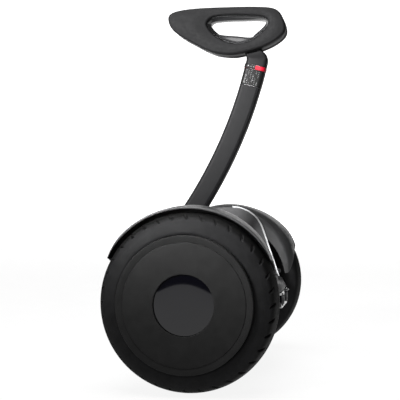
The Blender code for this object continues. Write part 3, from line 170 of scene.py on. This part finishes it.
LOOK = {
    "tyre": surface("tyre_rubber", (0.0068, 0.0068, 0.0071), 0.62, mottle=0.2, grain=0.5,
                    grain_size=0.9, shine=0.06),
    "satin_black": surface("satin_black_plastic", (0.0155, 0.0155, 0.016), 0.42, grain=0.35,
                           grain_size=0.5, wear=0.1, shine=0.25),
    "cover": surface("hub_cover_plastic", (0.0112, 0.0112, 0.0112), 0.46, grain=0.2, grain_size=0.5,
                     shine=0.05),
    "gloss_black": surface("gloss_black_plastic", (0.0006, 0.0006, 0.0016), 0.06, mottle=0.06,
                           rough_spread=0.01, shine=0.48),
    "dark_plastic": surface("dark_plastic", (0.038, 0.038, 0.039), 0.55, grain=0.4,
                            grain_size=0.6, wear=0.15, shine=0.12),
    "stem_paint": surface("stem_coat", (0.0046, 0.0046, 0.0049), 0.50, grain=0.3,
                          grain_size=0.35, rough_spread=0.04, shine=0.04),
    "soft_pad": surface("pad_skin", (0.0030, 0.0030, 0.0032), 0.72, mottle=0.10, grain=0.55,
                        grain_size=1.0, pattern="VORONOI", shine=0.08),
    "liner": surface("liner_gloss", (0.012, 0.012, 0.0125), 0.22, mottle=0.05, rough_spread=0.03,
                     shine=0.4),
    "rubber": surface("mat_rubber", (0.026, 0.026, 0.027), 0.72, grain=0.5, grain_size=0.7,
                      wear=0.2),
    "aluminium": surface("cast_aluminium", (0.32, 0.32, 0.33), 0.45, metallic=1.0, grain=0.4,
                         grain_size=0.8),
    "steel": surface("machined_steel", (0.42, 0.42, 0.43), 0.34, metallic=1.0, grain=0.25,
                     grain_size=0.3),
    "red": surface("red_ring", (0.17, 0.002, 0.008), 0.45, mottle=0.08, rough_spread=0.03,
                   shine=0.1),
    "light_white": surface("light_diffuser", (0.36, 0.365, 0.37), 0.40, mottle=0.02,
                           rough_spread=0.03),
    "battery": surface("battery_wrap", (0.05, 0.09, 0.22), 0.40, mottle=0.1),
    "board": surface("circuit_board", (0.02, 0.13, 0.06), 0.45, mottle=0.25, mottle_size=5.0),
    "sleeve": surface("sleeve_gloss", (0.0034, 0.0034, 0.0034), 0.45, mottle=0.05,
                      rough_spread=0.02, shine=0.05),
    # Paler bead colour that paints a highlight along each pad's outer edge
    "trim": surface("pad_edge_highlight_bead", (0.022, 0.022, 0.023), 0.45, mottle=0.1, rough_spread=0.03),
    "marks": surface("scale_marks", (0.17, 0.17, 0.175), 0.5, mottle=0.05),
}


SOFTENED_EDGES = (
    "left_side_panel", "right_side_panel", "left_foot_mat", "right_foot_mat", "bottom_cover",
    "rear_panel", "button_bezel", "power_button", "port_flap", "left_axle_clamp",
    "right_axle_clamp", "front_lamp",
)
EDGE_ROUNDING = 0.5


def dress_nodes():
    """Every CAD node that stays gets the finish of its slot, and some get broken edges."""
    slots = {part["node"]: part["material_slot"] for part in frame["record"]["subparts"]}
    for name, node in frame["nodes"].items():
        node.data.materials.clear()
        node.data.materials.append(LOOK[slots[name]])
    frame["nodes"]["button_bezel"].data.materials[0] = LOOK["dark_plastic"]
    frame["nodes"]["power_button"].data.materials[0] = LOOK["rubber"]
    for name in SOFTENED_EDGES:
        edge = frame["nodes"][name].modifiers.new("edge", "BEVEL")
        edge.width = EDGE_ROUNDING * MM
        edge.segments = 2
        edge.limit_method = "ANGLE"
        edge.angle_limit = math.radians(35)


# Shape helpers

def add_piece(name, points, faces, look, body, stands_for=(), sharp=32.0):
    """Closed mesh from points in millimetres that rides on a body and replaces CAD nodes."""
    shape = bmesh.new()
    verts = [shape.verts.new(Vector(point) * MM) for point in points]
    for face in faces:
        shape.faces.new([verts[i] for i in face])
    bmesh.ops.recalc_face_normals(shape, faces=shape.faces)
    mesh = bpy.data.meshes.new(name)
    shape.to_mesh(mesh)
    shape.free()
    mesh.shade_smooth()
    mesh.set_sharp_from_angle(angle=math.radians(sharp))
    mesh.materials.append(LOOK[look])
    piece = bpy.data.objects.new(name, mesh)
    bpy.context.scene.collection.objects.link(piece)
    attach(piece, body)
    if stands_for:
        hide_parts(*stands_for)
    return piece


def skin(rings, capped):
    """Points and faces of a loft. Uncapped, the last ring joins the first."""
    count = len(rings[0])
    points = [point for ring in rings for point in ring]
    faces = []
    for r in range(len(rings) - (1 if capped else 0)):
        here, there = r * count, (r + 1) % len(rings) * count
        for i in range(count):
            j = (i + 1) % count
            faces.append((here + i, here + j, there + j, there + i))
    if capped:
        faces.append(tuple(range(count)))
        faces.append(tuple(range(len(points) - count, len(points))))
    return points, faces


def turned_rings(profile, side, facets):
    rings = []
    for k in range(facets):
        angle = 2 * math.pi * k / facets
        rings.append([
            (side * u, r * math.cos(angle), WHEEL_RADIUS + r * math.sin(angle)) for u, r in profile
        ])
    return rings


def eased(profile, radius, steps=4):
    """Closed profile with its corners rounded, each by no more than half of its shorter side."""
    result = []
    count = len(profile)
    for i in range(count):
        before, here, after = (Vector(profile[(i + k) % count]) for k in (-1, 0, 1))
        reach = min(radius, 0.45 * (before - here).length, 0.45 * (after - here).length)
        start = here + (before - here).normalized() * reach
        end = here + (after - here).normalized() * reach
        for k in range(steps + 1):
            t = k / steps
            result.append(start * (1 - t) ** 2 + here * 2 * t * (1 - t) + end * t * t)
    return result


def flowing(points, steps, closed=False):
    """Catmull-Rom curve through the points."""
    curve = []
    count = len(points)
    last = count if closed else count - 1
    for i in range(last):
        if closed:
            a, b, c, d = (Vector(points[(i + k) % count]) for k in (-1, 0, 1, 2))
        else:
            a, b, c, d = (Vector(points[min(max(i + k, 0), count - 1)]) for k in (-1, 0, 1, 2))
        for k in range(steps):
            t = k / steps
            curve.append(0.5 * (
                2 * b + (c - a) * t + (2 * a - 5 * b + 4 * c - d) * t * t
                + (3 * b - a - 3 * c + d) * t ** 3
            ))
    if not closed:
        curve.append(Vector(points[-1]))
    return curve


# Wheels

NOTCH_COUNT = 36
NOTCH_LENGTH = 14.0
NOTCH_HALF_WIDTH = 2.4
NOTCH_SLANT = 3.4
NOTCH_DEPTH = 3.6
NOTCH_RUN = Vector((0.868, -0.497))
NOTCH_INWARD = Vector((NOTCH_RUN.y, -NOTCH_RUN.x))
NOTCH_STATIONS = (-0.42, -0.3, -0.2, -0.13, -0.085, -0.045, 0, 0.045, 0.085, 0.13, 0.2, 0.3, 0.42)
# Radii over which the tyre's crown is painted near black: painted shade for the fender's shadow
TREAD_SHADE_START = 124.0
TREAD_SHADE_END = 127.5
TREAD_GROOVE_PLACE = 5.5
TREAD_GROOVE_HALF_WIDTH = 1.7
TREAD_GROOVE_DEPTH = 1.8
RIM_FLANGE = 92.0
GROOVE_WIDTH = 0.6
BAND_WIDTH = 10.6
BAND_STEP = 1.1
COVER_SEAT_RADIUS = 86.0
COVER_FACETS = 128
CAP_FALL = 1.1
CAP_RINGS = 25
CAP_FACETS = 96


def paint_tread_shade(look, start, end):
    """Painted shade: the rubber turns blacker from one radius to the next, for the fender's shadow
    over the tyre's crown.
    """
    tree = look.node_tree
    shader = tree.nodes["Principled BSDF"]
    place = tree.nodes.new("ShaderNodeTexCoord").outputs["Object"]
    moved = tree.nodes.new("ShaderNodeVectorMath")
    moved.inputs[1].default_value = (0, 0, -WHEEL_RADIUS * MM)
    flat = tree.nodes.new("ShaderNodeVectorMath")
    flat.operation = "MULTIPLY"
    flat.inputs[1].default_value = (0, 1, 1)
    reach = tree.nodes.new("ShaderNodeVectorMath")
    reach.operation = "LENGTH"
    tree.links.new(place, moved.inputs[0])
    tree.links.new(moved.outputs["Vector"], flat.inputs[0])
    tree.links.new(flat.outputs["Vector"], reach.inputs[0])
    mask = tree.nodes.new("ShaderNodeMapRange")
    mask.inputs["From Min"].default_value = start * MM
    mask.inputs["From Max"].default_value = end * MM
    tree.links.new(reach.outputs["Value"], mask.inputs["Value"])
    # Near-black colour mixed over the rubber: the painted shade
    mix = tree.nodes.new("ShaderNodeMix")
    mix.data_type = "RGBA"
    mix.inputs["B"].default_value = (0.002, 0.002, 0.002, 1)
    tree.links.new(mask.outputs["Result"], mix.inputs["Factor"])
    tree.links.new(shader.inputs["Base Color"].links[0].from_socket, mix.inputs["A"])
    tree.links.new(mix.outputs["Result"], shader.inputs["Base Color"])


def tyre_surface():
    """Outer tyre curve from its inner bead over the crown to the groove at the hub cover."""
    half, radius = TYRE_HALF, WHEEL_RADIUS
    shoulder, flank = radius - 4.9, radius - 15.0
    groove = DISC_EDGE + GROOVE_WIDTH
    knots = (
        (6 - half, RIM_FLANGE + 2), (-half, radius - 29), (3.5 - half, flank),
        (11.5 - half, shoulder), (-11, radius - 0.35), (0, radius), (10, radius - 0.5),
        (half - 12, shoulder - 0.4), (half - 3.9, flank), (half - 0.5, groove + 5),
        (half - 0.8, groove + 0.3),
    )
    curve = flowing(knots, 12)
    for point in curve:
        if point.y > radius - 2:
            near = min(abs(abs(point.x) - TREAD_GROOVE_PLACE), TREAD_GROOVE_HALF_WIDTH)
            point.y -= TREAD_GROOVE_DEPTH * (1 - near / TREAD_GROOVE_HALF_WIDTH)
    return curve


def build_tyre(name, side):
    """Tyre with two grooves round its crown and slanting notches over its outer shoulder."""
    outer = tyre_surface()
    inner = [
        Vector((TYRE_HALF - 2.4, DISC_EDGE + GROOVE_WIDTH - 0.2)),
        Vector((TYRE_HALF - 3.2, RIM_FLANGE + 0.6)),
        Vector((TYRE_HALF - 12, RIM_FLANGE + 6)), Vector((12 - TYRE_HALF, RIM_FLANGE + 6)),
        Vector((7 - TYRE_HALF, RIM_FLANGE + 0.6)),
    ]
    profile = outer + inner
    top = Vector((TYRE_HALF - 18.5, WHEEL_RADIUS - 2.6))
    pitch = 360 / NOTCH_COUNT
    rings = []
    for k in range(NOTCH_COUNT):
        for share in NOTCH_STATIONS:
            ring = []
            for i, point in enumerate(profile):
                along = (point - top).dot(NOTCH_RUN) / NOTCH_LENGTH
                held = min(1.0, max(0.0, along))
                slant = NOTCH_SLANT * (2 * held - 1)
                offset = math.radians(share * pitch) * WHEEL_RADIUS
                place = point
                if i < len(outer) and 0 < along < 1 and point.x > 0:
                    depth = max(0.0, 1 - abs(offset) / NOTCH_HALF_WIDTH)
                    depth = min(1.0, 1.6 * depth) * min(1.0, 4 * min(along, 1 - along))
                    place = point + NOTCH_INWARD * NOTCH_DEPTH * depth
                angle = math.radians(k * pitch) + (offset + slant) / WHEEL_RADIUS
                ring.append((side * (TYRE_MID + place.x), place.y * math.cos(angle),
                             WHEEL_RADIUS + place.y * math.sin(angle)))
            rings.append(ring)
    points, faces = skin(rings, capped=False)
    add_piece(f"{name}_tyre_skin", points, faces, "tyre", f"{name}_wheel",
              (f"{name}_tyre",), sharp=40)


def build_hub_cover(name, side):
    """Cover with a well for the cap, a disc that falls away to a step, and a band round it."""
    well = CAP_RADIUS + GROOVE_WIDTH
    floor = CAP_LOW.x - GAP
    disc = DISC_EDGE - BAND_WIDTH
    profile = [
        Vector((floor, well - 9)), Vector((floor, well)), Vector((DISC_FACE - 0.3, well)),
        Vector((DISC_FACE, well + 0.6)), Vector((DISC_FACE, well + 6)),
        Vector((DISC_FACE - 0.5, 0.5 * (well + disc))), Vector((DISC_FACE - 1.2, disc - 3)),
        Vector((DISC_FACE - 1.5, disc)), Vector((DISC_FACE - 1.5 - BAND_STEP, disc + 0.5)),
        Vector((DISC_FACE - 1.5, disc + 5)), Vector((DISC_FACE - 0.7, DISC_EDGE - 1.4)),
        Vector((DISC_FACE - 0.8, DISC_EDGE - 0.6)), Vector((DISC_FACE - 1.8, DISC_EDGE)),
        Vector((COVER_LOW.x + 1.5, DISC_EDGE)), Vector((COVER_LOW.x + 1.5, COVER_SEAT_RADIUS)),
        Vector((floor - 3, well - 9)),
    ]
    points, faces = skin(turned_rings(profile, side, COVER_FACETS), capped=False)
    add_piece(f"{name}_cover_skin", points, faces, "cover", f"{name}_wheel",
              (f"{name}_hub_cover",), sharp=18)


def build_hub_cap(name, side):
    """Glossy round cap, nearly flat in the middle and falling away towards its rim."""
    rim, back = CAP_HIGH.x, CAP_LOW.x
    rings = []
    levels = [(back, CAP_RADIUS)]
    for k in range(CAP_RINGS):
        share = 1 - k / (CAP_RINGS - 0.5)
        levels.append((rim - CAP_FALL * share ** 4, CAP_RADIUS * share))
    for u, r in levels:
        rings.append([
            (side * u, r * math.cos(2 * math.pi * k / CAP_FACETS),
             WHEEL_RADIUS + r * math.sin(2 * math.pi * k / CAP_FACETS)) for k in range(CAP_FACETS)
        ])
    points, faces = skin(rings, capped=True)
    add_piece(f"{name}_cap_skin", points, faces, "gloss_black", f"{name}_wheel",
              (f"{name}_hub_cap",), sharp=50)


# Fender

FENDER_EDGE_RADIUS = 138.7
FENDER_RADIUS = 144.0
FENDER_FLANK_RADIUS = 110.0
FENDER_FRONT_REACH = 62.0
FENDER_REAR_REACH = 62.0
FENDER_FLANK_REACH = 81.0
FENDER_LIP_TAPER = 6.0
FENDER_SIDE_TAPER = 19.0
FENDER_WALL = 3.0
FENDER_EDGE_ROUNDING = 8.0
FENDER_STATIONS = 80


def fender_point(u, r, share, seat, outer):
    """Point of the fender's section. Towards both ends its lip gets lower, and the side beside
    the panel reaches further down and comes in."""
    edge, crown, flank = FENDER_EDGE_RADIUS, FENDER_RADIUS, FENDER_FLANK_RADIUS
    inner = (outer - u) / (outer - seat)
    reach = FENDER_FRONT_REACH if share > 0 else FENDER_REAR_REACH
    angle = share * (reach + inner ** 3 * (FENDER_FLANK_REACH - reach))
    late = max(0.0, (abs(share) - 0.72) / 0.28) ** 2
    lip = min(1.0, max(0.0, (r - edge) / (crown - edge)))
    side = min(1.0, max(0.0, (r - flank) / (crown - 6 - flank)))
    radius = r - FENDER_LIP_TAPER * late * lip * (1 - inner)
    radius -= FENDER_SIDE_TAPER * (angle / FENDER_FLANK_REACH) ** 2 * inner * side
    angle = math.radians(angle)
    return radius * math.sin(angle), WHEEL_RADIUS + radius * math.cos(angle)


def build_fender(name, side):
    """Thin arch with a folded lip round its outer edge."""
    outer, seat = FENDER_HIGH.x, FENDER_LOW.x
    crown, edge, wall = FENDER_RADIUS, FENDER_EDGE_RADIUS, FENDER_WALL
    flank = FENDER_FLANK_RADIUS
    coarse = (
        (outer, edge), (outer, crown - 1.4), (outer - 38, crown + 0.6),
        (seat + 20, crown - 0.2), (seat, crown - 7), (seat, flank),
        (seat + wall, flank), (seat + wall, crown - 9),
        (seat + 21, crown - wall - 0.2), (outer - 38, crown + 1 - wall),
        (outer - wall, crown - wall), (outer - wall, edge),
    )
    profile = eased(coarse, FENDER_EDGE_ROUNDING, 6)
    rings = []
    for k in range(FENDER_STATIONS + 1):
        share = math.sin(math.pi * (k / FENDER_STATIONS - 0.5))
        rings.append([(side * u, *fender_point(u, r, share, seat, outer)) for u, r in profile])
    points, faces = skin(rings, capped=True)
    add_piece(f"{name}_fender_skin", points, faces, "satin_black", "chassis",
              (f"{name}_fender",), sharp=40)


# Curved stem

ARC_CENTRE = Vector((0.0, 679.0, 697.0))
ARC_RADIUS = 775.0
STEM_DEPTH = 35.0
STEM_WIDTH = 28.0
STEM_CORNER = 6.5
SOCKET_BASE_Z = 212.0
SLEEVE_BASE_Z = 478.0
RING_BASE_Z = 505.0
RING_TOP_Z = 512.0
STEM_WALL = 2.0
STEM_GROOVE = 1.0
CLIP_END = 1.0
MARK_HEIGHT = 0.12


def arc_frame(z):
    """Point of the stem's middle line at a height, and the unit vector to its rear face."""
    y = ARC_CENTRE.y - math.sqrt(ARC_RADIUS ** 2 - (z - ARC_CENTRE.z) ** 2)
    rear = Vector((0, y - ARC_CENTRE.y, z - ARC_CENTRE.z)).normalized()
    return Vector((0, y, z)), rear


def rounded_box(half_a, half_b, corner, steps):
    points = []
    for quarter, (sa, sb) in enumerate(((1, 1), (-1, 1), (-1, -1), (1, -1))):
        for k in range(steps + 1):
            angle = math.pi / 2 * (quarter + k / steps)
            points.append((sa * (half_a - corner) + corner * math.cos(angle),
                           sb * (half_b - corner) + corner * math.sin(angle)))
    return points


def stem_ring(z, inset=0.0, steps=8, groove=0.0):
    """Rounded outline round the middle line, with a groove down each rear corner if asked."""
    centre, rear = arc_frame(z)
    outline = rounded_box(STEM_WIDTH / 2 - inset, STEM_DEPTH / 2 - inset,
                          max(1.5, STEM_CORNER - inset), steps)
    if groove:
        for i in (round(steps / 3), 2 * steps + 1 - round(steps / 3)):
            x, d = outline[i]
            outline[i] = (x - math.copysign(0.87 * groove, x), d - 0.5 * groove)
    return [centre + Vector((x, 0, 0)) + rear * d for x, d in outline]


def stem_heights(low, high, count):
    def angle(z):
        return math.asin((ARC_CENTRE.z - z) / ARC_RADIUS)
    start, end = angle(low), angle(high)
    return [ARC_CENTRE.z - ARC_RADIUS * math.sin(start + (end - start) * k / count)
            for k in range(count + 1)]


def stem_sleeve(name, low, high, count, inset, wall, look, stands_for=(), rim=0.5,
                groove=0.0):
    """Tube along the stem with slightly rounded ends."""
    heights = stem_heights(low + rim, high - rim, count)
    steps = 16 if groove else 8
    rings = [stem_ring(low, inset + rim, steps)]
    rings += [stem_ring(z, inset, steps, groove) for z in heights]
    rings += [stem_ring(high, inset + more, steps) for more in (rim, wall)]
    rings += [stem_ring(z, inset + wall, steps) for z in reversed(heights)]
    rings += [stem_ring(low, inset + wall, steps)]
    points, faces = skin(rings, capped=False)
    return add_piece(name, points, faces, look, "steering_bar", stands_for)


def build_stem():
    stem_sleeve("stem_skin", SOCKET_BASE_Z + GAP, SLEEVE_BASE_Z - GAP, 64, 0.0, STEM_WALL,
                "stem_paint", ("stem_tube",), groove=STEM_GROOVE)
    stem_sleeve("lock_ring_skin", RING_BASE_Z, RING_TOP_Z - GAP, 4, -0.5, STEM_WALL + 0.4,
                "red", ("lock_ring",), rim=0.8)


def build_sleeve():
    stem_sleeve("sleeve_skin", SLEEVE_BASE_Z, RING_BASE_Z - GAP, 8, -0.2, STEM_WALL,
                "sleeve", ("scale_sleeve",), rim=0.4)


def build_ring_clip():
    """Dark clip round the front of the red ring, which ends at a place along the stem's depth."""
    clip = []
    for z, inset in ((RING_BASE_Z + 0.1, -0.7), (RING_BASE_Z + 0.5, -1.0),
                     (RING_TOP_Z - 0.8, -1.0), (RING_TOP_Z - 0.4, -0.7)):
        section = []
        for more in (0.0, 0.6):
            middle, rear = arc_frame(z)
            front = stem_ring(z, inset + more)[18:]
            reach = Vector((STEM_WIDTH / 2 - inset - more, 0, 0))
            front = [middle - reach + rear * CLIP_END] + front + [middle + reach + rear * CLIP_END]
            section += front if not more else reversed(front)
        clip.append(section)
    points, faces = skin(clip, capped=True)
    add_piece("ring_clip", points, faces, "sleeve", "steering_bar")


def scale_marks():
    """Height, place along the depth, length and half height of every mark on one side."""
    marks = [(0.5 * (RING_BASE_Z + RING_TOP_Z), -12.0 + 5.0 * k, 1.2, 0.5) for k in range(3)]
    for row in range(8):
        z = SLEEVE_BASE_Z + 3.2 + 2.9 * row
        for column in range(6):
            wide = 1.8 if row % 2 == 0 and column in (0, 3) else 0.8
            if (row * 5 + column * 3) % 7 not in (2, 4):
                marks.append((z, -12.0 + 4.2 * column, wide, 0.3))
    return marks


def build_marks(name, side):
    """Thin printed bars that follow the face of the sleeve or, higher up, of the clip."""
    points, faces = [], []
    for z, along, length, height in scale_marks():
        middle, rear = arc_frame(z)
        up = Vector((0, abs(rear.z), abs(rear.y)))
        proud = 1.0 if z > RING_BASE_Z else 0.2
        rings = []
        for lift in (proud - 0.1, proud + MARK_HEIGHT):
            ring = []
            for d, h in ((0, -height), (0, height), (length, height), (length, -height)):
                d += along
                bent = max(0.0, abs(d) - (STEM_DEPTH / 2 - STEM_CORNER))
                x = STEM_WIDTH / 2 - STEM_CORNER + math.sqrt(STEM_CORNER ** 2 - bent ** 2)
                ring.append(middle + Vector((side * (x + lift), 0, 0)) + rear * d + up * h)
            rings.append(ring)
        more_points, more_faces = skin(rings, capped=True)
        faces += [tuple(i + len(points) for i in face) for face in more_faces]
        points += more_points
    add_piece(f"{name}_scale_marks", points, faces, "marks", "steering_bar")


# Head with its pads. Its outlines are forward and up from the stem's middle at the ring's top.

HEAD_OUTLINE = (
    (148, 77), (142.5, 90), (112, 96.2), (58.5, 98), (-1.5, 97), (-37, 91), (-50.5, 69),
    (-48, 49.5), (-19, 30.5), (29.5, 17.5), (59.5, 18.5), (78.5, 24), (102, 36), (137, 58),
)
HOLE_OUTLINE = (
    (78.5, 68), (74, 76.5), (64, 80), (43.5, 81), (3.5, 79.5), (-16.5, 75.5), (-20, 67.5),
    (-10, 55), (5.5, 43.5), (26.5, 38), (48.5, 42.5), (67, 53),
)
WAIST_OUTLINE = (
    (76, 69), (70.5, 75.5), (50, 77.2), (28, 77.4), (-12.5, 76.2), (-16, 68.5),
    (0.7, 53), (8.5, 47.8), (33, 50.4), (58, 53.2), (65.5, 57),
)
WAIST_HALF_WIDTH = 8.0
HOLE_CENTRE = Vector((33.5, 60.0))
HEAD_FACETS = 160
CORE_HALF_WIDTH = 12.0
PAD_FACE = 27.0
PAD_CROWN = 3.2
PAD_EDGE_ROUND = 5.0
PAD_INSET = 0.8
LINER_WALL = 2.0
LIP_DEPTH = 7.0
LIP_RUN = 4.0


def polar_outline(points, offset=0.0):
    """The curve through the points, read at even angles about the carrying hole's centre."""
    base = arc_frame(RING_TOP_Z)[0].yz
    curve = [point - HOLE_CENTRE for point in flowing(points, 24, closed=True)]
    result = []
    for k in range(HEAD_FACETS):
        angle = 2 * math.pi * k / HEAD_FACETS
        ray = Vector((math.cos(angle), math.sin(angle)))
        for i, start in enumerate(curve):
            end = curve[(i + 1) % len(curve)]
            a = ray.x * start.y - ray.y * start.x
            b = ray.x * end.y - ray.y * end.x
            if a * b <= 0 and a != b and start.dot(ray) > 0:
                hit = start.lerp(end, a / (a - b))
                normal = Vector((end.y - start.y, start.x - end.x)).normalized()
                if normal.dot(ray) < 0:
                    normal = -normal
                reach = hit.dot(ray) + offset / max(normal.dot(ray), 0.4)
                result.append(base + HOLE_CENTRE + ray * reach)
                break
    return result


def build_pad(name, side, outline, hole):
    """Soft knee pad: round edges, a crowned face, fuller in the lobe ahead of the hole."""
    low = CORE_HALF_WIDTH + GAP
    high = PAD_FACE
    section = [(0.9, 0.0, 0), (0.15, 0.9, 0), (0.0, 2.4, 0)]
    for k in range(9):
        angle = math.pi / 2 * k / 8
        section.append((PAD_EDGE_ROUND * (1 - math.cos(angle)),
                        high - low - PAD_EDGE_ROUND * (1 - math.sin(angle)), 0))
    section += [(PAD_EDGE_ROUND, high - low, k / 16) for k in range(1, 16)]
    for k in range(8, -1, -1):
        angle = math.pi / 2 * k / 8
        section.append((PAD_EDGE_ROUND * (1 - math.cos(angle)),
                        high - low - PAD_EDGE_ROUND * (1 - math.sin(angle)), 1))
    section += [(0.0, 2.0, 1), (0.0, 0.0, 1)]
    rings = []
    for inset, height, share in section:
        ring = []
        for rim, bore in zip(outline, hole):
            width = (rim - bore).length
            inward = (bore - rim).normalized()
            edge = min(PAD_EDGE_ROUND, 0.3 * width)
            near = min(inset, 0.3 * width)
            if share == 0:
                place, lift = rim + inward * (near + PAD_INSET), height
            elif share == 1:
                place, lift = bore - inward * near, height
            else:
                start, end = edge + PAD_INSET, width - edge
                place = rim + inward * (start + (end - start) * share)
                crown = PAD_CROWN * min(1.0, (width / 60.0) ** 1.5)
                lift = height + crown * math.sin(math.pi * share)
            ring.append((side * (low + lift), place.x, place.y))
        rings.append(ring)
    points, faces = skin(rings, capped=False)
    pad = add_piece(f"{name}_pad_skin", points, faces, "soft_pad", "head",
                    (f"{name}_knee_pad",), sharp=60)


def build_pad_rim_highlight(name, side, outline, hole):
    """Slim bead round the pad's outer edge, where it meets the core, paler than the pad: a painted
    highlight along that edge.
    """
    low = CORE_HALF_WIDTH + GAP
    section = ((0.2, 0.0), (1.2, 0.0), (1.6, 0.25), (1.6, 0.75), (1.2, 1.0), (0.2, 1.0))
    rings = []
    for rim, bore in zip(outline, hole):
        inward = (bore - rim).normalized()
        rings.append([
            (side * (low + height), *(rim + inward * (1.6 + PAD_INSET - out)))
            for out, height in section
        ])
    points, faces = skin(rings, capped=False)
    add_piece(f"{name}_pad_rim_highlight", points, faces, "trim", "head", sharp=60)


def build_core(outline, hole):
    """Flat loop between the pads, a little inside their edges."""
    half = CORE_HALF_WIDTH
    loops = []
    for x, inset in ((-half, 2.6), (0.9 - half, 1.9), (half - 0.9, 1.9), (half, 2.6)):
        loops.append([
            (x, *(p + (q - p).normalized() * inset)) for p, q in zip(outline, hole)
        ])
    loops += [[(x, p.x, p.y) for p in hole] for x in (half, -half)]
    points, faces = skin(loops, capped=False)
    add_piece("head_core_skin", points, faces, "dark_plastic", "head",
              ("head_core",))


def build_neck():
    """Top of the stem, which gets deeper and narrower where it runs into the core."""
    sections = [stem_ring(RING_TOP_Z + rise, 0) for rise in (0, 4, 8, 10)]
    knots = ((10.0, 0.0, 0.0, 0.0), (19.0, 4.0, -5.0, 2.4), (25.0, 12.0, -12.0, 2.8),
             (31.0, 24.0, -15.5, 3.2))
    for height, front, back, narrower in flowing(knots, 5)[1:]:
        middle, _ = arc_frame(RING_TOP_Z + height)
        deep = STEM_DEPTH / 2 + 0.5 * (front + back)
        centre = middle.y + 0.5 * (front - back)
        sections.append([
            (x, centre - d, middle.z)
            for x, d in rounded_box(STEM_WIDTH / 2 - narrower, deep, STEM_CORNER - 2, 8)
        ])
    points, faces = skin(sections, capped=True)
    add_piece("head_neck_skin", points, faces, "stem_paint", "head")


def build_liner():
    """Liner of the carrying hole, which narrows from its lips to a waist in the middle."""
    lip, ridge = PAD_FACE - LIP_DEPTH, WAIST_HALF_WIDTH
    inside = polar_outline(HOLE_OUTLINE)
    waist = polar_outline(WAIST_OUTLINE)
    outside = polar_outline(HOLE_OUTLINE, LINER_WALL)
    loops = [[(x, *p) for p in outside] for x in (-lip, lip)]
    rims = [[(x, *p.lerp(q, 0.15)) for p, q in zip(outside, inside)] for x in (lip, -lip)]
    loops.append(rims[0])
    start = lip - LIP_RUN
    levels = [(start + (ridge - start) * t, t * t * (3 - 2 * t))
              for t in (0.0, 0.2, 0.4, 0.6, 0.8, 1.0)]
    levels += [(-x, share) for x, share in reversed(levels)]
    for x, share in levels:
        loops.append([(x, *p.lerp(q, share)) for p, q in zip(inside, waist)])
    loops.append(rims[1])
    points, faces = skin(loops, capped=False)
    add_piece("hole_liner_skin", points, faces, "liner", "head", ("hole_liner",))


def build_head():
    outline = polar_outline(HEAD_OUTLINE)
    hole = polar_outline(HOLE_OUTLINE, LINER_WALL + GAP)
    build_core(outline, hole)
    build_neck()
    build_liner()
    for name, side in SIDES:
        build_pad(name, side, outline, hole)
        # Paler bead along each pad's outer edge, a painted highlight
        build_pad_rim_highlight(name, side, outline, hole)


# Studio

FLOOR_REACH = 8.0
FLOOR_TONE = (0.06, 0.06, 0.06)
FLOOR_GLOW = 14.8
BACKDROP_X = 3.9
BACKDROP_Y = (-0.9, 4.0)
BACKDROP_Z = (-0.6, 2.2)
BACKDROP_TONE = (0.95, 0.95, 0.95)
BACKDROP_GLOW = 1.05
ROOM_LIGHT = 0.06

# Name, place, aim, size, power in watts and spread in degrees of each light
LIGHTS = (
    ("overhead", (-0.35, 0.05, 1.7), (-0.1, 0.0, 0.1), (1.4, 1.4), 47.0, 180),
    ("front", (-2.4, 0.0, 1.3), (0.0, 0.0, 0.3), (1.5, 1.0), 6.2, 180),
    ("front_beam", (-0.90, 0.42, 0.62), (-0.1, -0.05, 0.53), (0.30, 0.16), 9.5, 62),
)


def add_panel(name, corners, look):
    mesh = bpy.data.meshes.new(name)
    mesh.from_pydata(corners, [], [(0, 1, 2, 3)])
    mesh.materials.append(look)
    panel = bpy.data.objects.new(name, mesh)
    bpy.context.scene.collection.objects.link(panel)


def glowing(name, colour, strength):
    made = surface(name, colour, 0.9, mottle=0.0, mottle_size=300.0)
    shader = made.node_tree.nodes["Principled BSDF"]
    shader.inputs["Emission Color"].default_value = (*colour, 1.0)
    shader.inputs["Emission Strength"].default_value = strength
    return made


def add_stage():
    """Pale floor and backdrop, three soft lights and a dim room."""
    far, low = FLOOR_REACH, -0.0006
    add_panel("floor", [(-far, -far, low), (far, -far, low), (far, far, low), (-far, far, low)],
              glowing("floor_paper", FLOOR_TONE, FLOOR_GLOW))
    (right, left), (foot, top) = BACKDROP_Y, BACKDROP_Z
    corners = ((right, foot), (left, foot), (left, top), (right, top))
    add_panel("backdrop", [(BACKDROP_X, y, z) for y, z in corners],
              glowing("backdrop_paper", BACKDROP_TONE, BACKDROP_GLOW))
    bpy.context.scene.view_settings.view_transform = "Standard"
    world = bpy.data.worlds.new("studio")
    world.use_nodes = True
    background = world.node_tree.nodes["Background"]
    background.inputs["Color"].default_value = (1.0, 1.0, 1.0, 1.0)
    background.inputs["Strength"].default_value = ROOM_LIGHT
    bpy.context.scene.world = world
    for name, place, aim, size, power, spread in LIGHTS:
        data = bpy.data.lights.new(name, "AREA")
        data.shape = "RECTANGLE"
        data.size, data.size_y = size
        data.energy = power
        data.spread = math.radians(spread)
        lamp = bpy.data.objects.new(name, data)
        lamp.location = place
        lamp.rotation_euler = (Vector(aim) - Vector(place)).to_track_quat("-Z", "Y").to_euler()
        bpy.context.scene.collection.objects.link(lamp)


# The object and its studio

# Painted shade on the tyre's crown, darkened as if in the fender's shadow
paint_tread_shade(LOOK["tyre"], TREAD_SHADE_START, TREAD_SHADE_END)
for name, side in SIDES:
    build_tyre(name, side)
    build_hub_cover(name, side)
    build_hub_cap(name, side)
    build_fender(name, side)
build_stem()
build_sleeve()
build_ring_clip()
for name, side in SIDES:
    build_marks(name, side)
build_head()
dress_nodes()
add_stage()
